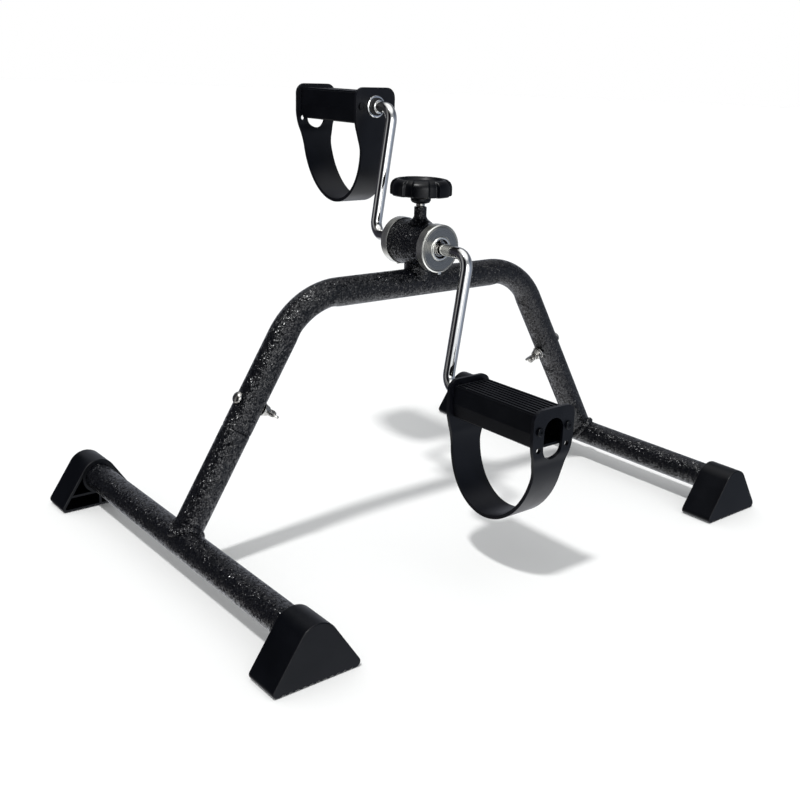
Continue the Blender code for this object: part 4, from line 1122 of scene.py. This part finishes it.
def make_straps(sizes):
    """The strap is made flat, pierced, its edges rounded, and then bent round its line."""
    line = strap_line()
    marks = [0.0]
    for first, second in zip(line, line[1:]):
        marks.append(marks[-1] + math.dist(first, second))
    total, columns = marks[-1], 14
    bm = bmesh.new()
    layers = []
    for depth in (0.0, sizes.strap_thickness):
        rows = []
        for mark, (_, z) in zip(marks, line):
            half = strap_half_width(z, sizes)
            rows.append([bm.verts.new((mark, -half + 2 * half * j / columns, depth))
                         for j in range(columns + 1)])
        layers.append(rows)
    for rows in layers:
        for one, two in zip(rows, rows[1:]):
            for j in range(columns):
                bm.faces.new((one[j], one[j + 1], two[j + 1], two[j]))
    low, high = layers
    border = [rows for rows in zip(low, high)]
    for (a, b), (c, d) in zip(border, border[1:]):
        for j in (0, columns):
            bm.faces.new((a[j], c[j], d[j], b[j]))
    for a, b in (border[0], border[-1]):
        for j in range(columns):
            bm.faces.new((a[j], a[j + 1], b[j + 1], b[j]))
    bmesh.ops.recalc_face_normals(bm, faces=bm.faces)
    strap = from_bmesh(bm, "strap")

    axis_in, axis_out = HEAD_TOP, total - HEAD_TOP
    window_top, window_bottom, drop = 0.0083, -0.0252, 0.0152
    half = sizes.window_half
    window = (arc((axis_out + window_top - half, 0), half, -90, 90, 24)
              + arc((axis_out + window_bottom + half, 0), half, 90, 270, 24))
    cutters = [prism("window", window, -0.005, 0.008),
               rod("strap_bore", BEARING_R + GAP, -0.005, 0.008, Matrix.Translation((axis_in, 0, 0)))]
    for way in (-1, 1):
        for at in (axis_in, axis_out, axis_out - drop):
            cutters.append(rod("peg_hole", PEG_SHANK_R + GAP, -0.005, 0.008,
                               Matrix.Translation((at, way * PEG_Y, 0)), 24))
    strap = softened(combined(strap, "DIFFERENCE", *cutters), 0.0005, 50.0, 3)

    index = 0
    for vertex in sorted(strap.data.vertices, key=lambda v: v.co.x):
        mark = min(max(vertex.co.x, 0.0), total)
        while index < len(marks) - 2 and marks[index + 1] < mark:
            index += 1
        share = (mark - marks[index]) / (marks[index + 1] - marks[index])
        (x0, z0), (x1, z1) = line[index], line[index + 1]
        ways = []
        for k in (index, index + 1):
            before, after = line[max(k - 1, 0)], line[min(k + 1, len(line) - 1)]
            ways.append(Vector((after[0] - before[0], after[1] - before[1])).normalized())
        along = (ways[0] * (1 - share) + ways[1] * share).normalized()
        x, z = x0 + (x1 - x0) * share, z0 + (z1 - z0) * share
        depth = vertex.co.z
        vertex.co = (x - along.y * depth, vertex.co.y, z + along.x * depth)
    bm = bmesh.new()
    bm.from_mesh(strap.data)
    bmesh.ops.recalc_face_normals(bm, faces=bm.faces)
    bm.to_mesh(strap.data)
    bm.free()
    for end in ENDS:
        piece = placed_copy(strap, f"{end}_strap", spindle_matrix(end))
        dressed(piece, "moulded_strap", f"{end}_pedal", f"{end}_pedal_strap")
    used_up(strap)


# Frame bolts


def make_frame_bolt(name, side, sizes):
    """A round-headed bolt through the leg, held inside it by a washer and a wing nut."""
    here = bolt_matrix(side)
    under, end, ridge = -TUBE_R - GAP, 0.0268, 0.00045
    dome = [(sizes.head * math.sin(math.radians(a)), under - 0.0034 * math.cos(math.radians(a)))
            for a in range(90, 0, -6)] + [(0, under - 0.0034)]
    core = turned("core", [(0, end), (sizes.bolt - ridge, end), (sizes.bolt - ridge, 0.004),
                           (sizes.bolt, 0.004),
                           (sizes.bolt, under)] + dome, soft=0.0002, steps=64)
    ridges = thread("ridges", sizes.bolt, sizes.pitch, 0.005, end - 0.0006, ridge)
    bolt = merged(f"{name}_bolt", [core, ridges])
    bolt.data.transform(here)
    dressed(bolt, "zinc_plated_steel", "frame", f"{name}_frame_bolt")
    low = TUBE_R + GAP
    washer = turned(f"{name}_washer", [(sizes.washer, low + 0.0012), (sizes.washer, low), (0.0033, low),
                                       (0.0033, low + 0.0012)], here, 0.0003, 64)
    dressed(washer, "zinc_plated_steel", f"{name}_washer", f"{name}_bolt_washer")
    make_wing_nut(name, here, low + 0.0012 + GAP, sizes)


def make_wing_nut(name, here, low, sizes):
    bore, top = sizes.bolt + GAP, low + 0.0052
    nut = turned(f"{name}_nut", [(bore, top), (0.0042, top), (0.0054, low + 0.0008), (0.0054, low),
                                 (bore, low)], here,
                 0.0004, 64)
    wing = [(0.0035, low + 0.0006), (0.0050, low + 0.0010), (0.0094, low + 0.0038), (0.0116, low + 0.0062),
            (0.0123, low + 0.0084), (0.0116, low + 0.0098), (0.0100, low + 0.0100), (0.0082, low + 0.0084),
            (0.0062, low + 0.0060), (0.0035, top - 0.0004)]
    wing = rounded(wing, 0.0012, steps=4)
    turn = sizes.left_turn if name == "left" else sizes.right_turn
    edgeways = Matrix.Rotation(turn, 4, "Z")
    wings = [prism(f"wing_{i}", wing, -0.0010, 0.0010,
                   here @ edgeways @ way @ Matrix.Rotation(math.pi / 2, 4, "X"),
                   0.0005) for i, way in enumerate((Matrix(), HALF_TURN))]
    nut = combined(nut, "UNION", *wings)
    nut = combined(nut, "DIFFERENCE", rod("nut_bore", bore, low - 0.002, top + 0.002, here, 48))
    dressed(nut, "zinc_plated_steel", f"{name}_nut", f"{name}_wing_nut")


# Stage

CAMERA_PLACE = Vector((0.68618, -0.56933, 0.39452))
CAMERA_WAY = Vector((-0.72983, 0.61180, -0.30504))


KEY_WAY = Vector((-0.1, 0.4, -1.0))
# The walls of the room by their bearing in degrees, with the tone of each
ROOM_WALLS = ((-180.0, (0.05, 0.05, 0.06)), (-132.0, (0.03, 0.03, 0.04)), (-122.0, (0.36, 0.36, 0.37)),
              (-104.0, (0.36, 0.36, 0.37)), (-97.0, (0.010, 0.010, 0.014)), (-52.0, (0.010, 0.010, 0.014)),
              (-44.0, (0.95, 0.97, 1.0)), (20.0, (0.85, 0.88, 0.95)), (32.0, (0.28, 0.33, 0.44)),
              (60.0, (0.26, 0.29, 0.35)), (112.0, (0.26, 0.27, 0.30)), (128.0, (0.50, 0.52, 0.58)),
              (156.0, (0.50, 0.52, 0.58)))
WINDOW_WAY = Vector((0.933, -0.267, 0.242))


def make_camera(sizes):
    data = bpy.data.cameras.new("camera")
    data.lens = sizes.lens
    data.sensor_width = 36.0
    data.shift_x, data.shift_y = -0.0236, -0.0072
    data.clip_start, data.clip_end = 0.01, 60.0
    camera = bpy.data.objects.new("camera", data)
    bpy.context.scene.collection.objects.link(camera)
    level = CAMERA_WAY.to_track_quat("-Z", "Y").to_matrix().to_4x4()
    camera.matrix_world = Matrix.Translation(CAMERA_PLACE) @ level @ Matrix.Rotation(sizes.roll, 4, "Z")
    bpy.context.scene.camera = camera


def make_floor(sizes):
    bm = bmesh.new()
    bmesh.ops.create_circle(bm, cap_ends=True, segments=96, radius=14.0)
    floor = from_bmesh(bm, "floor")
    made, tree, shader, place = new_finish("pale_floor", sizes.floor_colour, 0.0, 0.6, Specular_IOR_Level=0.1)
    tree.links.new(spread(tree, noise(tree, place, 3.0), 0.2, 0.8, 0.55, 0.65), shader.inputs["Roughness"])
    floor.data.materials.append(made)
    floor.visible_glossy = False


def make_key(sizes):
    """One wide light, high up and a little to the left, as a bank of lamps on the ceiling gives."""
    data = bpy.data.lights.new("key", "SUN")
    data.energy = sizes.key_power
    data.angle = sizes.key_spread
    lamp = bpy.data.objects.new("key", data)
    lamp.rotation_mode = "QUATERNION"
    lamp.rotation_quaternion = KEY_WAY.to_track_quat("-Z", "Y")
    bpy.context.scene.collection.objects.link(lamp)


def make_sky(sizes):
    """White where it is seen, even on matt surfaces, and a room of pale and dark walls in what shines."""
    world = bpy.data.worlds.new("studio")
    world.use_nodes = True
    bpy.context.scene.world = world
    tree = world.node_tree
    tree.nodes.clear()
    way = wire(tree, "ShaderNodeTexCoord").outputs["Generated"]
    parts = wire(tree, "ShaderNodeSeparateXYZ", {0: way})
    turn = math_of(tree, "ARCTAN2", parts.outputs["Y"], parts.outputs["X"])
    walls = wire(tree, "ShaderNodeValToRGB", {"Fac": spread(tree, turn, -math.pi, math.pi, 0.0, 1.0)})
    walls.color_ramp.elements.remove(walls.color_ramp.elements[0])
    walls.color_ramp.elements[0].position = 0.0
    walls.color_ramp.elements[0].color = (*ROOM_WALLS[0][1], 1.0)
    for degrees, tone in ROOM_WALLS[1:]:
        stop = walls.color_ramp.elements.new((degrees + 180.0) / 360.0)
        stop.color = (*tone, 1.0)
    height = parts.outputs["Z"]
    lower = spread(tree, height, 0.12, 0.55, 1.0, 0.42)
    above = spread(tree, height, 0.72, 0.9, 0.0, 1.1)
    below = spread(tree, height, -0.80, -0.45, 1.05, 0.0)
    facing = wire(tree, "ShaderNodeVectorMath", {0: way, 1: WINDOW_WAY},
                  operation="DOT_PRODUCT").outputs["Value"]
    window = spread(tree, facing, math.cos(math.radians(20.0)), math.cos(math.radians(13.0)), 0.0, 4.0)
    ceiling = math_of(tree, "ADD", math_of(tree, "ADD", above, window), below)
    shine = wire(tree, "ShaderNodeVectorMath", {0: walls.outputs["Color"], "Scale": lower},
                 operation="SCALE").outputs[0]
    room = wire(tree, "ShaderNodeVectorMath", {0: shine, 1: ceiling}, operation="ADD").outputs[0]
    shining = wire(tree, "ShaderNodeBackground", {"Color": room, "Strength": 1.0}).outputs[0]
    even = wire(tree, "ShaderNodeBackground", {"Color": (0.97, 0.985, 1.0, 1.0),
                                               "Strength": sizes.room_power}).outputs[0]
    white = wire(tree, "ShaderNodeBackground", {"Color": (1.0, 1.0, 1.0, 1.0), "Strength": 1.0}).outputs[0]
    ray = wire(tree, "ShaderNodeLightPath")
    unseen = wire(tree, "ShaderNodeMixShader",
                  {0: ray.outputs["Is Glossy Ray"], 1: even, 2: shining}).outputs[0]
    both = wire(tree, "ShaderNodeMixShader",
                {0: ray.outputs["Is Camera Ray"], 1: unseen, 2: white}).outputs[0]
    wire(tree, "ShaderNodeOutputWorld", {"Surface": both})


# Operators


class ExerciserStep(bpy.types.Operator):
    bl_options = {"REGISTER", "UNDO"}


class EXERCISER_OT_stage(ExerciserStep):
    """Set up the camera, the pale floor and the soft studio light"""
    bl_idname = "exerciser.stage"
    bl_label = "Stage"

    def execute(self, context):
        sizes = context.scene.exerciser_stage
        context.scene.view_settings.view_transform = "Standard"
        make_camera(sizes)
        make_floor(sizes)
        make_sky(sizes)
        make_key(sizes)
        return {"FINISHED"}


class EXERCISER_OT_frame_tubes(ExerciserStep):
    """Make the arch, the lower legs, the floor bars and their weld beads"""
    bl_idname = "exerciser.frame_tubes"
    bl_label = "Frame Tubes"

    def execute(self, context):
        sizes = context.scene.exerciser_frame
        make_arch(sizes)
        for name, side in SIDES.items():
            make_upright(name, side, sizes)
            make_leg_weld(name, side, sizes)
            make_floor_bar(name, side, sizes)
        return {"FINISHED"}


class EXERCISER_OT_feet(ExerciserStep):
    """Make the four moulded feet"""
    bl_idname = "exerciser.feet"
    bl_label = "Feet"

    def execute(self, context):
        make_feet(context.scene.exerciser_feet)
        return {"FINISHED"}


class EXERCISER_OT_frame_bolts(ExerciserStep):
    """Make the leg bolts with their washers and wing nuts"""
    bl_idname = "exerciser.frame_bolts"
    bl_label = "Frame Bolts"

    def execute(self, context):
        for name, side in SIDES.items():
            make_frame_bolt(name, side, context.scene.exerciser_bolts)
        return {"FINISHED"}


class EXERCISER_OT_hub(ExerciserStep):
    """Make the hub, its boss, caps, bushes and retaining rings"""
    bl_idname = "exerciser.hub"
    bl_label = "Hub"

    def execute(self, context):
        sizes, rod_radius = context.scene.exerciser_hub, context.scene.exerciser_crank.rod
        make_hub_shell(sizes)
        for name, end in ENDS.items():
            make_hub_cap(name, end, sizes)
            make_hub_bush(name, end, sizes, rod_radius)
            make_retaining_ring(name, end, rod_radius)
        return {"FINISHED"}


class EXERCISER_OT_brake(ExerciserStep):
    """Make the brake screw, plug and sleeve, and the lobed knob"""
    bl_idname = "exerciser.brake"
    bl_label = "Brake"

    def execute(self, context):
        sizes = context.scene.exerciser_brake
        make_brake_screw(sizes, context.scene.exerciser_crank.rod)
        make_knob(sizes)
        return {"FINISHED"}


class EXERCISER_OT_crank(ExerciserStep):
    """Make the bent chrome rod"""
    bl_idname = "exerciser.crank"
    bl_label = "Crank"

    def execute(self, context):
        make_crank(context.scene.exerciser_crank)
        return {"FINISHED"}


class EXERCISER_OT_pedals(ExerciserStep):
    """Make both pedals: bodies, treads, pegs, bearings and straps"""
    bl_idname = "exerciser.pedals"
    bl_label = "Pedals"

    def execute(self, context):
        sizes = context.scene.exerciser_pedals
        make_pedal_bodies(sizes, context.scene.exerciser_crank.rod)
        make_straps(sizes)
        return {"FINISHED"}


OPERATORS = (EXERCISER_OT_stage, EXERCISER_OT_frame_tubes, EXERCISER_OT_feet, EXERCISER_OT_frame_bolts,
             EXERCISER_OT_hub, EXERCISER_OT_brake, EXERCISER_OT_crank, EXERCISER_OT_pedals)
SETTINGS = {"exerciser_frame": FrameSizes, "exerciser_feet": FootSizes, "exerciser_hub": HubSizes,
            "exerciser_brake": BrakeSizes, "exerciser_crank": CrankSizes, "exerciser_pedals": PedalSizes,
            "exerciser_bolts": BoltSizes, "exerciser_finishes": Finishes, "exerciser_stage": StageSizes}


class EXERCISER_PT_pieces(bpy.types.Panel):
    """The pieces of the exerciser, with their sizes"""
    bl_idname = "EXERCISER_PT_pieces"
    bl_label = "Pedal Exerciser"
    bl_space_type = "VIEW_3D"
    bl_region_type = "UI"
    bl_category = "Exerciser"

    def draw(self, context):
        column = self.layout.column()
        for operator in OPERATORS:
            column.operator(operator.bl_idname)
        for name, group in SETTINGS.items():
            box = self.layout.box()
            for prop in group.__annotations__:
                box.prop(getattr(context.scene, name), prop)


def register():
    for name, group in SETTINGS.items():
        bpy.utils.register_class(group)
        setattr(bpy.types.Scene, name, PointerProperty(type=group))
    for operator in OPERATORS:
        bpy.utils.register_class(operator)
    bpy.utils.register_class(EXERCISER_PT_pieces)


def unregister():
    bpy.utils.unregister_class(EXERCISER_PT_pieces)
    for operator in reversed(OPERATORS):
        bpy.utils.unregister_class(operator)
    for name, group in SETTINGS.items():
        delattr(bpy.types.Scene, name)
        bpy.utils.unregister_class(group)


def main():
    register()
    bpy.ops.exerciser.stage()
    bpy.ops.exerciser.frame_tubes()
    bpy.ops.exerciser.feet()
    bpy.ops.exerciser.frame_bolts()
    bpy.ops.exerciser.hub()
    bpy.ops.exerciser.brake()
    bpy.ops.exerciser.crank()
    bpy.ops.exerciser.pedals()


if __name__ == "__main__":
    main()
